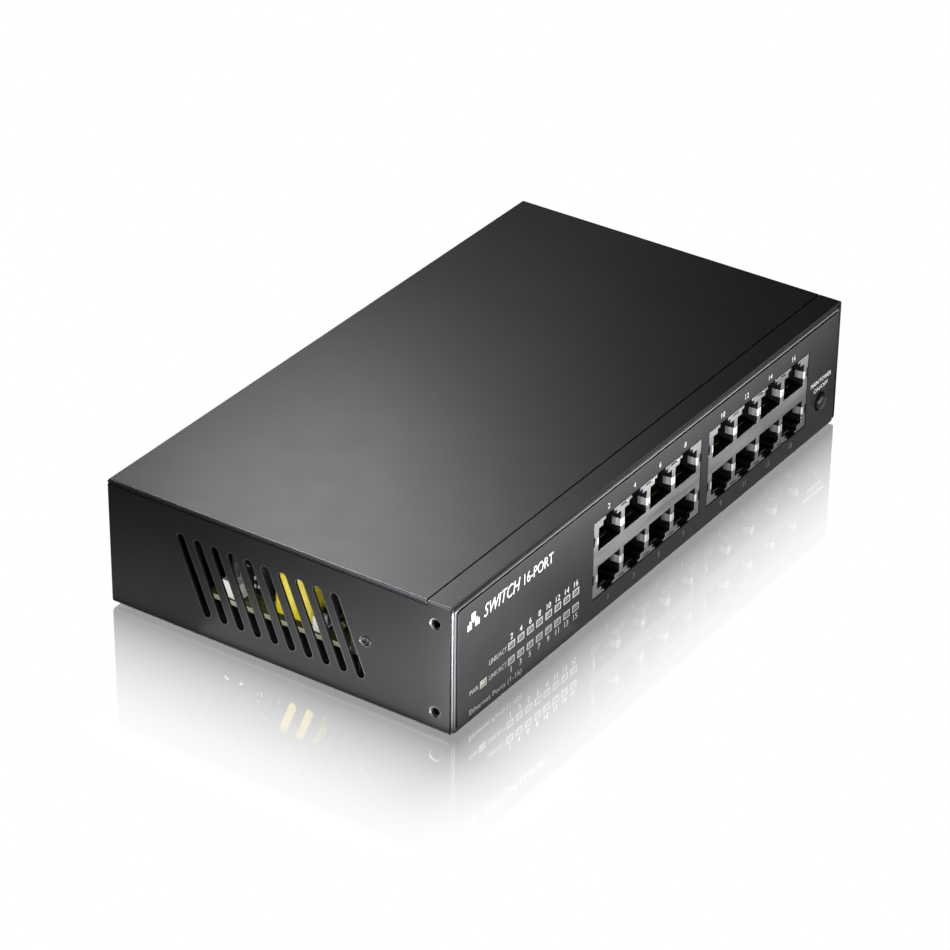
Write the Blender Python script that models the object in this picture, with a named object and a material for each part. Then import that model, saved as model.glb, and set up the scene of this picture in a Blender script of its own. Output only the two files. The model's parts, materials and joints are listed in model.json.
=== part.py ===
"""Desktop network switch with sixteen ports: steel case, jack banks, boards and mains supply.

The frame is in metres, with +Z up, the front face looking along -Y and +X to the right of a
person facing the front. The origin is at the middle of the overall box, on the desk.
All shapes below are given in the case's own frame, whose Z is zero at the case's underside.
"""

import math

import bmesh
import bpy
from mathutils import Vector

mm = 0.001

# Case: gap is between its steel parts, contact between other touching parts, past is a cutter's overrun
width = 215 * mm
depth = 120 * mm
height = 42 * mm
sheet = 0.8 * mm
gap = 0.35 * mm
contact = 0.3 * mm
past = 1 * mm
top_bend = 0.7 * mm
bottom_bend = 1 * mm
panel_bend = 1.5 * mm
panel_return = 2.7 * mm
shell_setback = 0.5 * mm
film = 0.3 * mm
film_gap = 0.1 * mm
seam_setback = 8.7 * mm
seam_width = 0.5 * mm
lip = 1.3 * mm
foot_drop = 1.2 * mm
foot_radius = 6 * mm
foot_inset = 14 * mm

# Side walls
vent_count = 10
vent_pitch = 6 * mm
vent_width = 2.75 * mm
vent_top = (33.9 * mm, 31.3 * mm)
vent_bottom = (25.1 * mm, 9.05 * mm)
ear_hole_y = -54.3 * mm
ear_hole_heights = (6.1 * mm, 35.1 * mm)
ear_hole_radius = 1.6 * mm
ear_collar = (2.4 * mm, 2.3 * mm)
side_screw = (-30.75 * mm, 20.5 * mm)
rear_screw = (40 * mm, 35 * mm)
lock_slot = ((88 * mm, 9.5 * mm), (88 * mm, 13.5 * mm), 3 * mm)
cover_tab = (12 * mm, 14 * mm, 29 * mm)

# Jacks
jack_pitch = 13.97 * mm
jack_columns = 4
bank_centres = {"left": -6.3 * mm, "right": 57.2 * mm}
bank_width = 58.8 * mm
bank_bottom = 7.3 * mm
bank_top = 32.9 * mm
bank_depth = 25 * mm
shield = 0.4 * mm
shield_front = -depth / 2 + 0.1 * mm
housing_front = shield_front + shield + contact
housing_depth = 22 * mm
ground_slots = ((26.6 * mm, 13.5 * mm), (0.9 * mm, 3.2 * mm))
seam_slot = (3 * mm, 0.45 * mm)
port_width = 12 * mm
lower_port = (9.6 * mm, 17.4 * mm)
upper_port = (22.7 * mm, 30.4 * mm)
latch_step = (7.4 * mm, 1.5 * mm)
latch_width = 4.6 * mm
plug_depth = 13 * mm

# Front indicators and power button
lamp_first = -78.1 * mm
lamp_pitch = 4.74 * mm
lamp_columns = 8
lamp_rows = (9.6 * mm, 14.75 * mm)
lamp_window = (2.3 * mm, 1.5 * mm)
power_lamp = (-92.2 * mm, 9.6 * mm)
button_place = (95.6 * mm, 11.9 * mm)
button_radius = 2.75 * mm
button_proud = 1.4 * mm

# Boards
board = 1.6 * mm
main_board_z = 5.3 * mm
psu_board_z = 8.6 * mm
main_floor = main_board_z + board + contact
psu_floor = psu_board_z + board + contact
pillars_under = {
    main_board_z: ((-92 * mm, -42 * mm), (96 * mm, 38 * mm)),
    psu_board_z: ((-95.3 * mm, -23 * mm), (-50.5 * mm, 26 * mm)),
}
pillar_radius = 3 * mm
screw_hole = 1.6 * mm

# Mains inlet
inlet_place = (-78 * mm, 21 * mm)
inlet_size = (26.8 * mm, 19.5 * mm)
inlet_flange = (31.4 * mm, 24 * mm)
inlet_proud = 2.3 * mm

front = -depth / 2
back = depth / 2
side = width / 2
panel_front = front + film + film_gap
seam_y = front + seam_setback
wall_top = height - lip - gap

FINISHES = {
    "case": ((0.035, 0.036, 0.038), 0.45, 0.0),
    "film": ((0.045, 0.046, 0.048), 0.5, 0.0),
    "steel": ((0.62, 0.63, 0.64), 0.3, 1.0),
    "black zinc": ((0.14, 0.14, 0.15), 0.38, 1.0),
    "black plastic": ((0.012, 0.012, 0.013), 0.5, 0.0),
    "white plastic": ((0.8, 0.8, 0.77), 0.5, 0.0),
    "clear plastic": ((0.55, 0.57, 0.55), 0.25, 0.0),
    "rubber": ((0.02, 0.02, 0.02), 0.8, 0.0),
    "board": ((0.02, 0.12, 0.05), 0.45, 0.0),
    "tan board": ((0.55, 0.45, 0.22), 0.6, 0.0),
    "ferrite": ((0.05, 0.05, 0.055), 0.55, 0.0),
    "yellow tape": ((0.8, 0.6, 0.02), 0.4, 0.0),
    "aluminium": ((0.7, 0.7, 0.72), 0.4, 1.0),
    "glass": ((0.7, 0.75, 0.75), 0.1, 0.0),
    "copper wire": ((0.5, 0.2, 0.06), 0.35, 0.6),
    "grey wire": ((0.35, 0.36, 0.37), 0.5, 0.0),
    "green wire": ((0.25, 0.45, 0.05), 0.5, 0.0),
    "sheet": ((0.02, 0.02, 0.022), 0.6, 0.0),
}

FACES = {"left": (0, 0), "right": (0, 1), "front": (1, 0), "back": (1, 1), "bottom": (2, 0), "top": (2, 1)}


# ---------------------------------------------------------------- outlines


def circle(centre, radius, sides=20):
    """Points round a circle, as pairs."""
    turns = [math.tau * (i + 0.5) / sides for i in range(sides)]
    return [(centre[0] + radius * math.cos(t), centre[1] + radius * math.sin(t)) for t in turns]


def rectangle(centre, size):
    """The four corners of a rectangle, as pairs."""
    a, b = size[0] / 2, size[1] / 2
    return [(centre[0] + i * a, centre[1] + j * b) for i, j in ((-1, -1), (1, -1), (1, 1), (-1, 1))]


def rounded_rectangle(low, high, radii, steps=3):
    """A rectangle with its corners rounded: radii runs from the low left corner, anticlockwise."""
    corners = ((low[0], low[1]), (high[0], low[1]), (high[0], high[1]), (low[0], high[1]))
    inward = ((1, 1), (-1, 1), (-1, -1), (1, -1))
    points = []
    for i, (corner, turn, radius) in enumerate(zip(corners, inward, radii)):
        centre = (corner[0] + turn[0] * radius, corner[1] + turn[1] * radius)
        for step in range(steps + 1):
            angle = math.pi + (i + step / steps) * math.pi / 2
            points.append((centre[0] + radius * math.cos(angle), centre[1] + radius * math.sin(angle)))
    return points


def stadium(start, end, wide, steps=4):
    """A slot with round ends between two points."""
    along = math.atan2(end[1] - start[1], end[0] - start[0])
    points = []
    for centre, turn in ((end, along - math.pi / 2), (start, along + math.pi / 2)):
        for step in range(steps + 1):
            angle = turn + math.pi * step / steps
            points.append((centre[0] + wide / 2 * math.cos(angle), centre[1] + wide / 2 * math.sin(angle)))
    return points


def port_outline(centre, span, up, room=0.0, latch_end=None):
    """A jack opening: the plug's rectangle, and its latch notch in two steps, upwards or downwards."""
    edge, sign = (span[1], 1) if up else (span[0], -1)
    base = span[0] if up else span[1]
    half = port_width / 2 - room
    step = latch_step[0] / 2 - room
    narrow = latch_width / 2 - room
    ledge = edge + sign * (latch_step[1] - room)
    end = ledge if latch_end is None else latch_end
    rows = [(half, base + sign * room), (half, edge - sign * room), (step, edge - sign * room), (step, ledge)]
    if latch_end is not None:
        rows += [(narrow, ledge), (narrow, end)]
    right = [(centre + x, z) for x, z in rows]
    left = [(centre - x, z) for x, z in reversed(rows)]
    return right + left


# ---------------------------------------------------------------- solids as bmeshes


def tidy(bm):
    bmesh.ops.recalc_face_normals(bm, faces=bm.faces)
    return bm


def block(low, high, radius=0.0, rounded=(), steps=3):
    """A box between two corners, with the named edges rounded, such as "front left"."""
    bm = bmesh.new()
    bmesh.ops.create_cube(bm, size=1)
    low, high = Vector(low), Vector(high)
    for vertex in bm.verts:
        vertex.co = Vector([low[i] + (vertex.co[i] + 0.5) * (high[i] - low[i]) for i in range(3)])
    chosen = []
    for names in rounded:
        planes = [FACES[name] for name in names.split()]
        for edge in bm.edges:
            middle = (edge.verts[0].co + edge.verts[1].co) / 2
            if all(abs(middle[axis] - (low, high)[end][axis]) < 1e-7 for axis, end in planes):
                chosen.append(edge)
    if chosen:
        bmesh.ops.bevel(bm, geom=chosen, offset=radius, segments=steps, profile=0.5, affect="EDGES")
    return tidy(bm)


def prism(outline, axis, start, end):
    """An outline pushed along an axis. Its pairs are the other two coordinates, in X, Y, Z order."""
    bm = bmesh.new()
    along = "XYZ".index(axis)
    rings = []
    for place in (start, end):
        ring = []
        for pair in outline:
            point = list(pair)
            point.insert(along, place)
            ring.append(bm.verts.new(point))
        rings.append(ring)
    count = len(outline)
    bm.faces.new(rings[0])
    bm.faces.new(rings[1])
    for i in range(count):
        after = (i + 1) % count
        bm.faces.new((rings[0][i], rings[0][after], rings[1][after], rings[1][i]))
    return tidy(bm)


def tube(outer, inner, axis, start, end):
    """A ring between two outlines with as many points each, pushed along an axis."""
    bm = bmesh.new()
    along = "XYZ".index(axis)
    rings = []
    for outline, place in ((outer, start), (outer, end), (inner, end), (inner, start)):
        ring = []
        for pair in outline:
            point = list(pair)
            point.insert(along, place)
            ring.append(bm.verts.new(point))
        rings.append(ring)
    count = len(outer)
    for a in range(4):
        b = (a + 1) % 4
        for i in range(count):
            after = (i + 1) % count
            bm.faces.new((rings[a][i], rings[a][after], rings[b][after], rings[b][i]))
    return tidy(bm)


def turned(profile, centre, axis, sides=20):
    """A solid turned about an axis: profile holds (radius, place along the axis), open at both ends."""
    bm = bmesh.new()
    along = "XYZ".index(axis)
    rings = []
    for radius, place in profile:
        ring = []
        for pair in circle(centre, radius, sides):
            point = list(pair)
            point.insert(along, place)
            ring.append(bm.verts.new(point))
        rings.append(ring)
    bm.faces.new(rings[0])
    bm.faces.new(rings[-1])
    for lower, upper in zip(rings, rings[1:]):
        for i in range(sides):
            after = (i + 1) % sides
            bm.faces.new((lower[i], lower[after], upper[after], upper[i]))
    return tidy(bm)


def group(parts):
    """Several separate shapes in one mesh, which a Boolean adds or cuts together."""
    bm = bmesh.new()
    for part in parts:
        mesh = bpy.data.meshes.new("piece")
        part.to_mesh(mesh)
        part.free()
        bm.from_mesh(mesh)
        bpy.data.meshes.remove(mesh)
    return bm


def ring_body(centre, major, minor, sides=18, facets=8):
    """A torus lying flat about a vertical axis."""
    bm = bmesh.new()
    rings = []
    for i in range(sides):
        turn = math.tau * i / sides
        ring = []
        for j in range(facets):
            lift = math.tau * j / facets
            reach = major + minor * math.cos(lift)
            spot = (centre[0] + reach * math.cos(turn), centre[1] + reach * math.sin(turn))
            ring.append(bm.verts.new((spot[0], spot[1], centre[2] + minor * math.sin(lift))))
        rings.append(ring)
    for i in range(sides):
        for j in range(facets):
            a, b = rings[i], rings[(i + 1) % sides]
            bm.faces.new((a[j], b[j], b[(j + 1) % facets], a[(j + 1) % facets]))
    return tidy(bm)


# ---------------------------------------------------------------- objects


def add_material(obj, finish):
    colour, roughness, metallic = FINISHES[finish]
    material = bpy.data.materials.new(obj.name)
    material.use_nodes = True
    material.diffuse_color = (*colour, 1)
    shader = material.node_tree.nodes["Principled BSDF"]
    shader.inputs["Base Color"].default_value = (*colour, 1)
    shader.inputs["Roughness"].default_value = roughness
    shader.inputs["Metallic"].default_value = metallic
    obj.data.materials.append(material)


def place(name, bm):
    mesh = bpy.data.meshes.new(name)
    bm.to_mesh(mesh)
    bm.free()
    obj = bpy.data.objects.new(name, mesh)
    bpy.context.scene.collection.objects.link(obj)
    obj.parent = case_frame
    return obj


def make(name, base, finish, carve=(), add=(), cut=(), location=(0, 0, 0), parent=None):
    """One sub-part: a base shape, less those in carve, joined to those in add, less those in cut."""
    obj = place(name, base)
    add_material(obj, finish)
    stages = (("carve", "DIFFERENCE", carve), ("add", "UNION", add), ("cut", "DIFFERENCE", cut))
    for stage, operation, shapes in stages:
        for i, shape in enumerate(shapes):
            helper = place(f"{name}.{stage}.{i}", shape)
            helper.hide_render = True
            helper.display_type = "WIRE"
            helper.location = location
            boolean = obj.modifiers.new(helper.name, "BOOLEAN")
            boolean.operation = operation
            boolean.solver = "EXACT"
            boolean.object = helper
    obj.location = location
    if parent is not None:
        obj.parent = parent
    obj.data.shade_smooth()
    obj.data.set_sharp_from_angle(angle=math.radians(32))
    return obj


def wire(name, points, radius, finish):
    """A wire along a smooth curve through its route's points."""
    route = [Vector(p) for p in points]
    route = [2 * route[0] - route[1], *route, 2 * route[-1] - route[-2]]
    smooth = []
    steps = 4
    for a, b, c, d in zip(route, route[1:], route[2:], route[3:]):
        for step in range(steps):
            t = step / steps
            near = 2 * b + (c - a) * t
            far = (2 * a - 5 * b + 4 * c - d) * t**2 + (3 * b - a - 3 * c + d) * t**3
            smooth.append((near + far) / 2)
    smooth.append(route[-2])
    curve = bpy.data.curves.new(name, "CURVE")
    curve.dimensions = "3D"
    curve.bevel_depth = radius
    curve.bevel_resolution = 2
    curve.use_fill_caps = True
    spline = curve.splines.new("POLY")
    spline.points.add(len(smooth) - 1)
    for point, spot in zip(spline.points, smooth):
        point.co = (*spot, 1)
    obj = bpy.data.objects.new(name, curve)
    bpy.context.scene.collection.objects.link(obj)
    obj.parent = case_frame
    add_material(obj, finish)
    return obj


def empty(name, location, parent=None):
    obj = bpy.data.objects.new(name, None)
    bpy.context.scene.collection.objects.link(obj)
    obj.parent = parent
    obj.location = location
    return obj


# ---------------------------------------------------------------- case


def countersunk_hole(centre, axis, outside, inward, skin=sheet):
    """A cutter for a countersunk screw: a cone through the sheet, and a clearance hole behind it."""
    profile = [
        (2.4 * mm, outside - inward * 0.4 * mm),
        (1.4 * mm, outside + inward * skin * 0.9),
        (1.4 * mm, outside + inward * 4 * mm),
    ]
    return turned(profile, centre, axis)


def chassis_shell():
    bends = (bottom_bend, bottom_bend, top_bend, top_bend)
    outer = rounded_rectangle((-side, 0), (side, height), bends)
    radii = [max(bend - sheet, sheet / 4) for bend in bends]
    inner = rounded_rectangle((sheet - side, sheet), (side - sheet, height - sheet), radii)
    sleeve = tube(outer, inner, "Y", panel_front + shell_setback, back)

    collars = []
    holes = []
    for sign in (-1, 1):
        wall = sign * side
        for z in ear_hole_heights:
            spot = (ear_hole_y, z)
            ends = (wall - sign * sheet / 2, wall - sign * ear_collar[1])
            collars.append(prism(circle(spot, ear_collar[0], 14), "X", *ends))
            profile = [
                (ear_hole_radius + 0.6 * mm, wall + sign * 0.2 * mm),
                (ear_hole_radius, wall - sign * 0.4 * mm),
                (ear_hole_radius, wall - sign * (ear_collar[1] + past)),
            ]
            holes.append(turned(profile, spot, "X", 16))
        holes.append(countersunk_hole(side_screw, "X", wall, -sign))

    pillars = []
    for board_under, spots in pillars_under.items():
        top = board_under - contact
        for spot in spots:
            pillars.append(prism(circle(spot, pillar_radius, 16), "Z", sheet / 2, top))
            holes.append(prism(circle(spot, screw_hole, 12), "Z", 2 * sheet, top + past))

    slots = []
    for i in range(vent_count):
        shift = -i * vent_pitch
        upper = (vent_top[0] + shift, vent_top[1])
        lower = (vent_bottom[0] + shift, vent_bottom[1])
        slots.append(prism(stadium(lower, upper, vent_width), "X", -side - past, side + past))

    beyond = side + past
    open_top = block((-beyond, seam_y - seam_width / 2, wall_top), (beyond, back + past, height + past))
    reach = side - sheet
    notch_back = panel_front + sheet + 0.5 * mm
    open_foot = block((-reach, panel_front - past, -past), (reach, notch_back, sheet + gap))
    cuts = [open_top, open_foot, group(holes), group(slots)]
    return make("chassis_shell", sleeve, "case", add=[group(collars + pillars)], cut=cuts)


def lamp_places():
    """Where the sixteen link lamps are, as (x, z)."""
    return [(lamp_first + i * lamp_pitch, z) for z in lamp_rows for i in range(lamp_columns)]


def front_openings(room, start, end):
    """Cutters for what comes through the front: lamps, both jack banks and the power button."""
    windows = []
    for spot in [*lamp_places(), power_lamp]:
        size = (lamp_window[0] + 2 * room, lamp_window[1] + 2 * room)
        windows.append(prism(rectangle(spot, size), "Y", start, end))
    for centre in bank_centres.values():
        size = (bank_width + 2 * gap, bank_top - bank_bottom + 2 * gap)
        spot = (centre, (bank_top + bank_bottom) / 2)
        windows.append(prism(rectangle(spot, size), "Y", start, end))
    windows.append(prism(circle(button_place, button_radius + 0.5 * mm + room, 28), "Y", start, end))
    return group(windows)


def front_panel():
    reach = side - sheet - gap
    top = height - sheet - gap
    rear = panel_front + panel_return
    edges = ("left front", "right front", "top front", "left top", "right top")
    outside = block((-reach, panel_front, 0), (reach, rear, top), panel_bend, edges, 4)
    low = (sheet - reach, panel_front + sheet, -past)
    high = (reach - sheet, rear + past, top - sheet)
    inside = block(low, high, panel_bend - sheet, edges, 3)
    floor_room = block((-side, panel_front + sheet, -past), (side, rear + past, sheet + gap))
    openings = front_openings(contact / 2, panel_front - past, panel_front + sheet + past / 2)
    return make("front_panel", outside, "case", carve=[inside, floor_room], cut=[openings])


def front_overlay():
    reach = side - 2.7 * mm
    corners = [1 * mm] * 4
    outline = rounded_rectangle((-reach, 1 * mm), (reach, height - 2.3 * mm), corners)
    sheet_of_film = prism(outline, "Y", front, front + film)
    openings = front_openings(0, front - past, front + past)
    return make("front_overlay", sheet_of_film, "film", cut=[openings])


def rear_panel():
    reach = side - sheet - gap
    low = sheet + gap
    start = back - panel_return
    edges = ("left back", "right back", "bottom back", "left bottom", "right bottom")
    outside = block((-reach, start, low), (reach, back, wall_top), panel_bend, edges, 3)
    room_low = (sheet - reach, start - past, low + sheet)
    room_high = (reach - sheet, back - sheet, height)
    inside = block(room_low, room_high, panel_bend - sheet, edges, 3)
    cutout = (inlet_size[0] + 2 * contact, inlet_size[1] + 2 * contact)
    holes = [prism(rectangle(inlet_place, cutout), "Y", back - sheet - past, back + past)]
    holes.append(prism(stadium(*lock_slot), "Y", back - sheet - past, back + past))
    for sign in (-1, 1):
        holes.append(countersunk_hole((sign * rear_screw[0], rear_screw[1]), "Y", back, -1))
    return make("rear_panel", outside, "case", cut=[inside, group(holes)])


def top_cover():
    start = seam_y + seam_width / 2
    edges = ("left top", "right top", "back top")
    outside = block((-side, start, height - lip), (side, back, height), top_bend, edges, 3)
    under = height - sheet
    inside = block((sheet - side, start - past, height - 2 * lip), (side - sheet, back - sheet, under))
    joined = under + contact
    half_tab, side_tab_low, rear_tab_low = cover_tab[0] / 2, cover_tab[1], cover_tab[2]
    tab_reach = side - sheet - gap
    tabs = []
    holes = []
    for sign in (-1, 1):
        ends = sorted((sign * tab_reach, sign * (tab_reach - sheet)))
        low = (ends[0], side_screw[0] - half_tab, side_tab_low)
        tabs.append(block(low, (ends[1], side_screw[0] + half_tab, joined)))
        holes.append(prism(circle(side_screw, 1.1 * mm, 12), "X", sign * side, sign * (side - 5 * mm)))
        x = sign * rear_screw[0]
        tab_back = back - sheet - gap
        low = (x - half_tab, tab_back - sheet, rear_tab_low)
        tabs.append(block(low, (x + half_tab, tab_back, joined)))
        holes.append(prism(circle((x, rear_screw[1]), 1.1 * mm, 12), "Y", back, back - 5 * mm))
    tongue_tip, tongue_root, inset = start - 3 * mm, start + 1 * mm, start + 0.1 * mm
    tongue = [
        (tongue_tip, under - gap - sheet),
        (tongue_root, under - gap - sheet),
        (tongue_root, joined),
        (inset, joined),
        (inset, under - gap),
        (tongue_tip, under - gap),
    ]
    tabs.append(prism(tongue, "X", 6 * mm - side, side - 6 * mm))
    return make("top_cover", outside, "case", carve=[inside], add=[group(tabs)], cut=[group(holes)])


def case_screw(name, head, inward):
    """A countersunk cross-head screw: head is its centre on the outside, inward the way it is driven."""
    axis = "XYZ"[[abs(i) for i in inward].index(1)]
    sign = sum(inward)
    profile = [
        (1.75 * mm, -0.05 * mm * sign),
        (1.85 * mm, 0.05 * mm * sign),
        (1.1 * mm, 0.8 * mm * sign),
        (0.8 * mm, 1.1 * mm * sign),
        (0.8 * mm, 4.4 * mm * sign),
        (0.45 * mm, 5 * mm * sign),
    ]
    arm, half = 1.15 * mm, 0.28 * mm
    cross = [
        (half, half), (arm, half), (arm, -half), (half, -half), (half, -arm), (-half, -arm),
        (-half, -half), (-arm, -half), (-arm, half), (-half, half), (-half, arm), (half, arm),
    ]
    recess = prism(cross, axis, -1 * mm * sign, 0.5 * mm * sign)
    return make(name, turned(profile, (0, 0), axis, 16), "black zinc", cut=[recess], location=head)


def feet():
    profile = [
        (foot_radius - 0.4 * mm, -foot_drop),
        (foot_radius, contact - foot_drop),
        (foot_radius, -0.25 * mm),
    ]
    for end, y in (("front", front + foot_inset), ("rear", back - foot_inset)):
        for hand, x in (("left", foot_inset - side), ("right", side - foot_inset)):
            make(f"foot_{end}_{hand}", turned(profile, (0, 0), "Z", 24), "rubber", location=(x, y, 0))


def case_parts():
    chassis_shell()
    front_panel()
    front_overlay()
    rear_panel()
    top_cover()
    for hand, sign in (("left", -1), ("right", 1)):
        case_screw(f"side_cover_screw_{hand}", (sign * side, *side_screw), (-sign, 0, 0))
        case_screw(f"rear_cover_screw_{hand}", (sign * rear_screw[0], back, rear_screw[1]), (0, -1, 0))
    feet()


# ---------------------------------------------------------------- jacks


def column_centres(bank):
    middle = (jack_columns - 1) / 2
    return [bank_centres[bank] + (i - middle) * jack_pitch for i in range(jack_columns)]


def jack_shield(bank):
    centre = bank_centres[bank]
    start = shield_front
    end = start + bank_depth
    half = bank_width / 2
    outside = block((centre - half, start, bank_bottom), (centre + half, end, bank_top))
    inside = block(
        (centre - half + shield, start + shield, bank_bottom + shield),
        (centre + half - shield, end + past, bank_top - shield),
    )
    ports = []
    notches = []
    slots = []
    rows = (
        (upper_port, True, (upper_port[1] + latch_step[1] - contact, bank_top + past)),
        (lower_port, False, (bank_bottom - past, lower_port[0] - latch_step[1] + contact)),
    )
    half_latch = latch_width / 2
    for x in column_centres(bank):
        for span, up, (low, high) in rows:
            ports.append(prism(port_outline(x, span, up), "Y", start - past, start + shield + past / 2))
            low_corner = (x - half_latch, start - past, low)
            notches.append(block(low_corner, (x + half_latch, start + 2.4 * mm, high)))
    edge = 0.75 * mm
    for x, after in zip(column_centres(bank), column_centres(bank)[1:]):
        for z in (bank_top - edge, bank_bottom + edge):
            slot = rectangle(((x + after) / 2, z), seam_slot)
            slots.append(prism(slot, "Y", start - past, start + shield + 0.2 * mm))
    heights, size = ground_slots
    for sign in (-1, 1):
        for z in heights:
            slot = rectangle((centre + sign * (half - 0.25 * mm), z), size)
            slots.append(prism(slot, "Y", start - past, start + 1.6 * mm))
    cuts = [inside, group(ports), group(notches), group(slots)]
    return make(f"jack_shield_{bank}", outside, "steel", cut=cuts)


def jack_housing(bank):
    centre = bank_centres[bank]
    start = housing_front
    room = shield + contact
    half = bank_width / 2 - room
    end = start + housing_depth
    body = block((centre - half, start, bank_bottom + room), (centre + half, end, bank_top - room))
    plug_spaces = []
    passages = []
    wall = 0.15 * mm
    latch_depth = start + plug_depth - 2 * mm
    for x in column_centres(bank):
        for span, up in ((upper_port, True), (lower_port, False)):
            far = bank_top + past if up else bank_bottom - past
            outline = port_outline(x, span, up, wall, far)
            plug_spaces.append(prism(outline, "Y", start - past, latch_depth))
            size = (port_width - 2 * wall, span[1] - span[0] - 2 * wall)
            middle = (x, (span[0] + span[1]) / 2)
            passages.append(prism(rectangle(middle, size), "Y", latch_depth - 2 * mm, end + past))
    return make(f"jack_housing_{bank}", body, "black plastic", cut=[group(plug_spaces), group(passages)])


def contact_inserts(bank, first_port):
    """One carrier for each stacked pair: a lobe behind each plug, joined by a spine at the back."""
    lobe = housing_front + plug_depth + 0.5 * mm
    spine = housing_front + housing_depth + contact
    end = shield_front + bank_depth - 0.4 * mm
    room = 0.45 * mm
    outline = [
        (lobe, lower_port[0] + room),
        (end, lower_port[0] + room),
        (end, upper_port[1] - room),
        (lobe, upper_port[1] - room),
        (lobe, upper_port[0] + room),
        (spine, upper_port[0] + room),
        (spine, lower_port[1] - room),
        (lobe, lower_port[1] - room),
    ]
    half = port_width / 2 - 2 * room
    for i, x in enumerate(column_centres(bank)):
        odd = first_port + 2 * i
        name = f"contact_insert_{odd}_{odd + 1}"
        make(name, prism(outline, "X", -half, half), "black plastic", location=(x, 0, 0))


def jack_parts():
    for i, bank in enumerate(bank_centres):
        jack_shield(bank)
        jack_housing(bank)
        contact_inserts(bank, 1 + 2 * jack_columns * i)


# ---------------------------------------------------------------- indicators and power button


def light_guides():
    tip = front + 0.1 * mm
    root = -53 * mm
    thick = 3 * mm
    margin = 2 * mm
    half = (lamp_window[0] / 2 - 0.2 * mm, lamp_window[1] / 2 - 0.2 * mm)
    floor = main_floor
    prongs = []
    for x, z in lamp_places():
        prongs.append(block((x - half[0], tip, z - half[1]), (x + half[0], root + 1 * mm, z + half[1])))
    last = lamp_first + (lamp_columns - 1) * lamp_pitch
    top = lamp_rows[1] + 1.6 * mm
    comb = block((lamp_first - margin, root, floor), (last + margin, root + thick, top))
    make("status_light_guide", comb, "clear plastic", add=[group(prongs)])

    x, z = power_lamp
    prong = block((x - half[0], tip, z - half[1]), (x + half[0], root + 1 * mm, z + half[1]))
    foot = block((x - 1.6 * mm, root, floor), (x + 1.6 * mm, root + thick, z + 1.2 * mm))
    make("power_light_guide", foot, "clear plastic", add=[prong])


def power_button():
    """The cap's origin is on its axis at the front face; the cap and the plunger slide along it."""
    x, z = button_place
    axis_frame = empty("power_button_axis", (x, front, z), case_frame)
    r = button_radius
    collar = 3.1 * mm
    profile = [
        (0.8 * mm, -button_proud),
        (1.7 * mm, 0.12 * mm - button_proud),
        (2.4 * mm, 0.42 * mm - button_proud),
        (r, 1.0 * mm - button_proud),
        (r, collar),
        (r + 1.1 * mm, collar),
        (r + 1.1 * mm, collar + 1 * mm),
        (2.4 * mm, collar + 1 * mm),
        (2.4 * mm, collar + 2 * mm),
    ]
    socket = block((-1.7 * mm, collar - 1 * mm, -1.7 * mm), (1.7 * mm, collar + 4 * mm, 1.7 * mm))
    cap = make("power_button_cap", turned(profile, (0, 0), "Y", 28), "black plastic", cut=[socket])
    cap.parent = axis_frame
    cap_cutter = bpy.data.objects[f"{cap.name}.cut.0"]
    cap_cutter.parent = axis_frame

    rod = block((-1.5 * mm, collar - 0.8 * mm, -1.5 * mm), (1.5 * mm, 13 * mm, 1.5 * mm))
    make("switch_plunger", rod, "white plastic", parent=axis_frame)

    half, opening, start = 4.2 * mm, 1.8 * mm, -50 * mm
    high = (x + half, start + 13 * mm, z + half)
    body = block((x - half, start, main_floor), high, 0.4 * mm, ("left top", "right top"), 2)
    high = (x + opening, start + 6 * mm, z + opening)
    bore = block((x - opening, start - past, z - opening), high)
    make("power_switch_body", body, "black plastic", cut=[bore])


# ---------------------------------------------------------------- boards


def board_holes(places, low, high):
    return group([prism(circle(spot, screw_hole, 12), "Z", low, high) for spot in places])


def board_screw(name, spot, z):
    profile = [
        (0.8 * mm, -4 * mm),
        (1.25 * mm, -3.6 * mm),
        (1.25 * mm, 0),
        (2.7 * mm, 0),
        (2.7 * mm, 0.9 * mm),
        (1.9 * mm, 1.7 * mm),
    ]
    arm, half = 1.3 * mm, 0.35 * mm
    slot = prism(rectangle((0, 0), (2 * arm, 2 * half)), "Z", 0.9 * mm, 3 * mm)
    make(name, turned(profile, (0, 0), "Z", 14), "black zinc", cut=[slot], location=(*spot, z))


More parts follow.
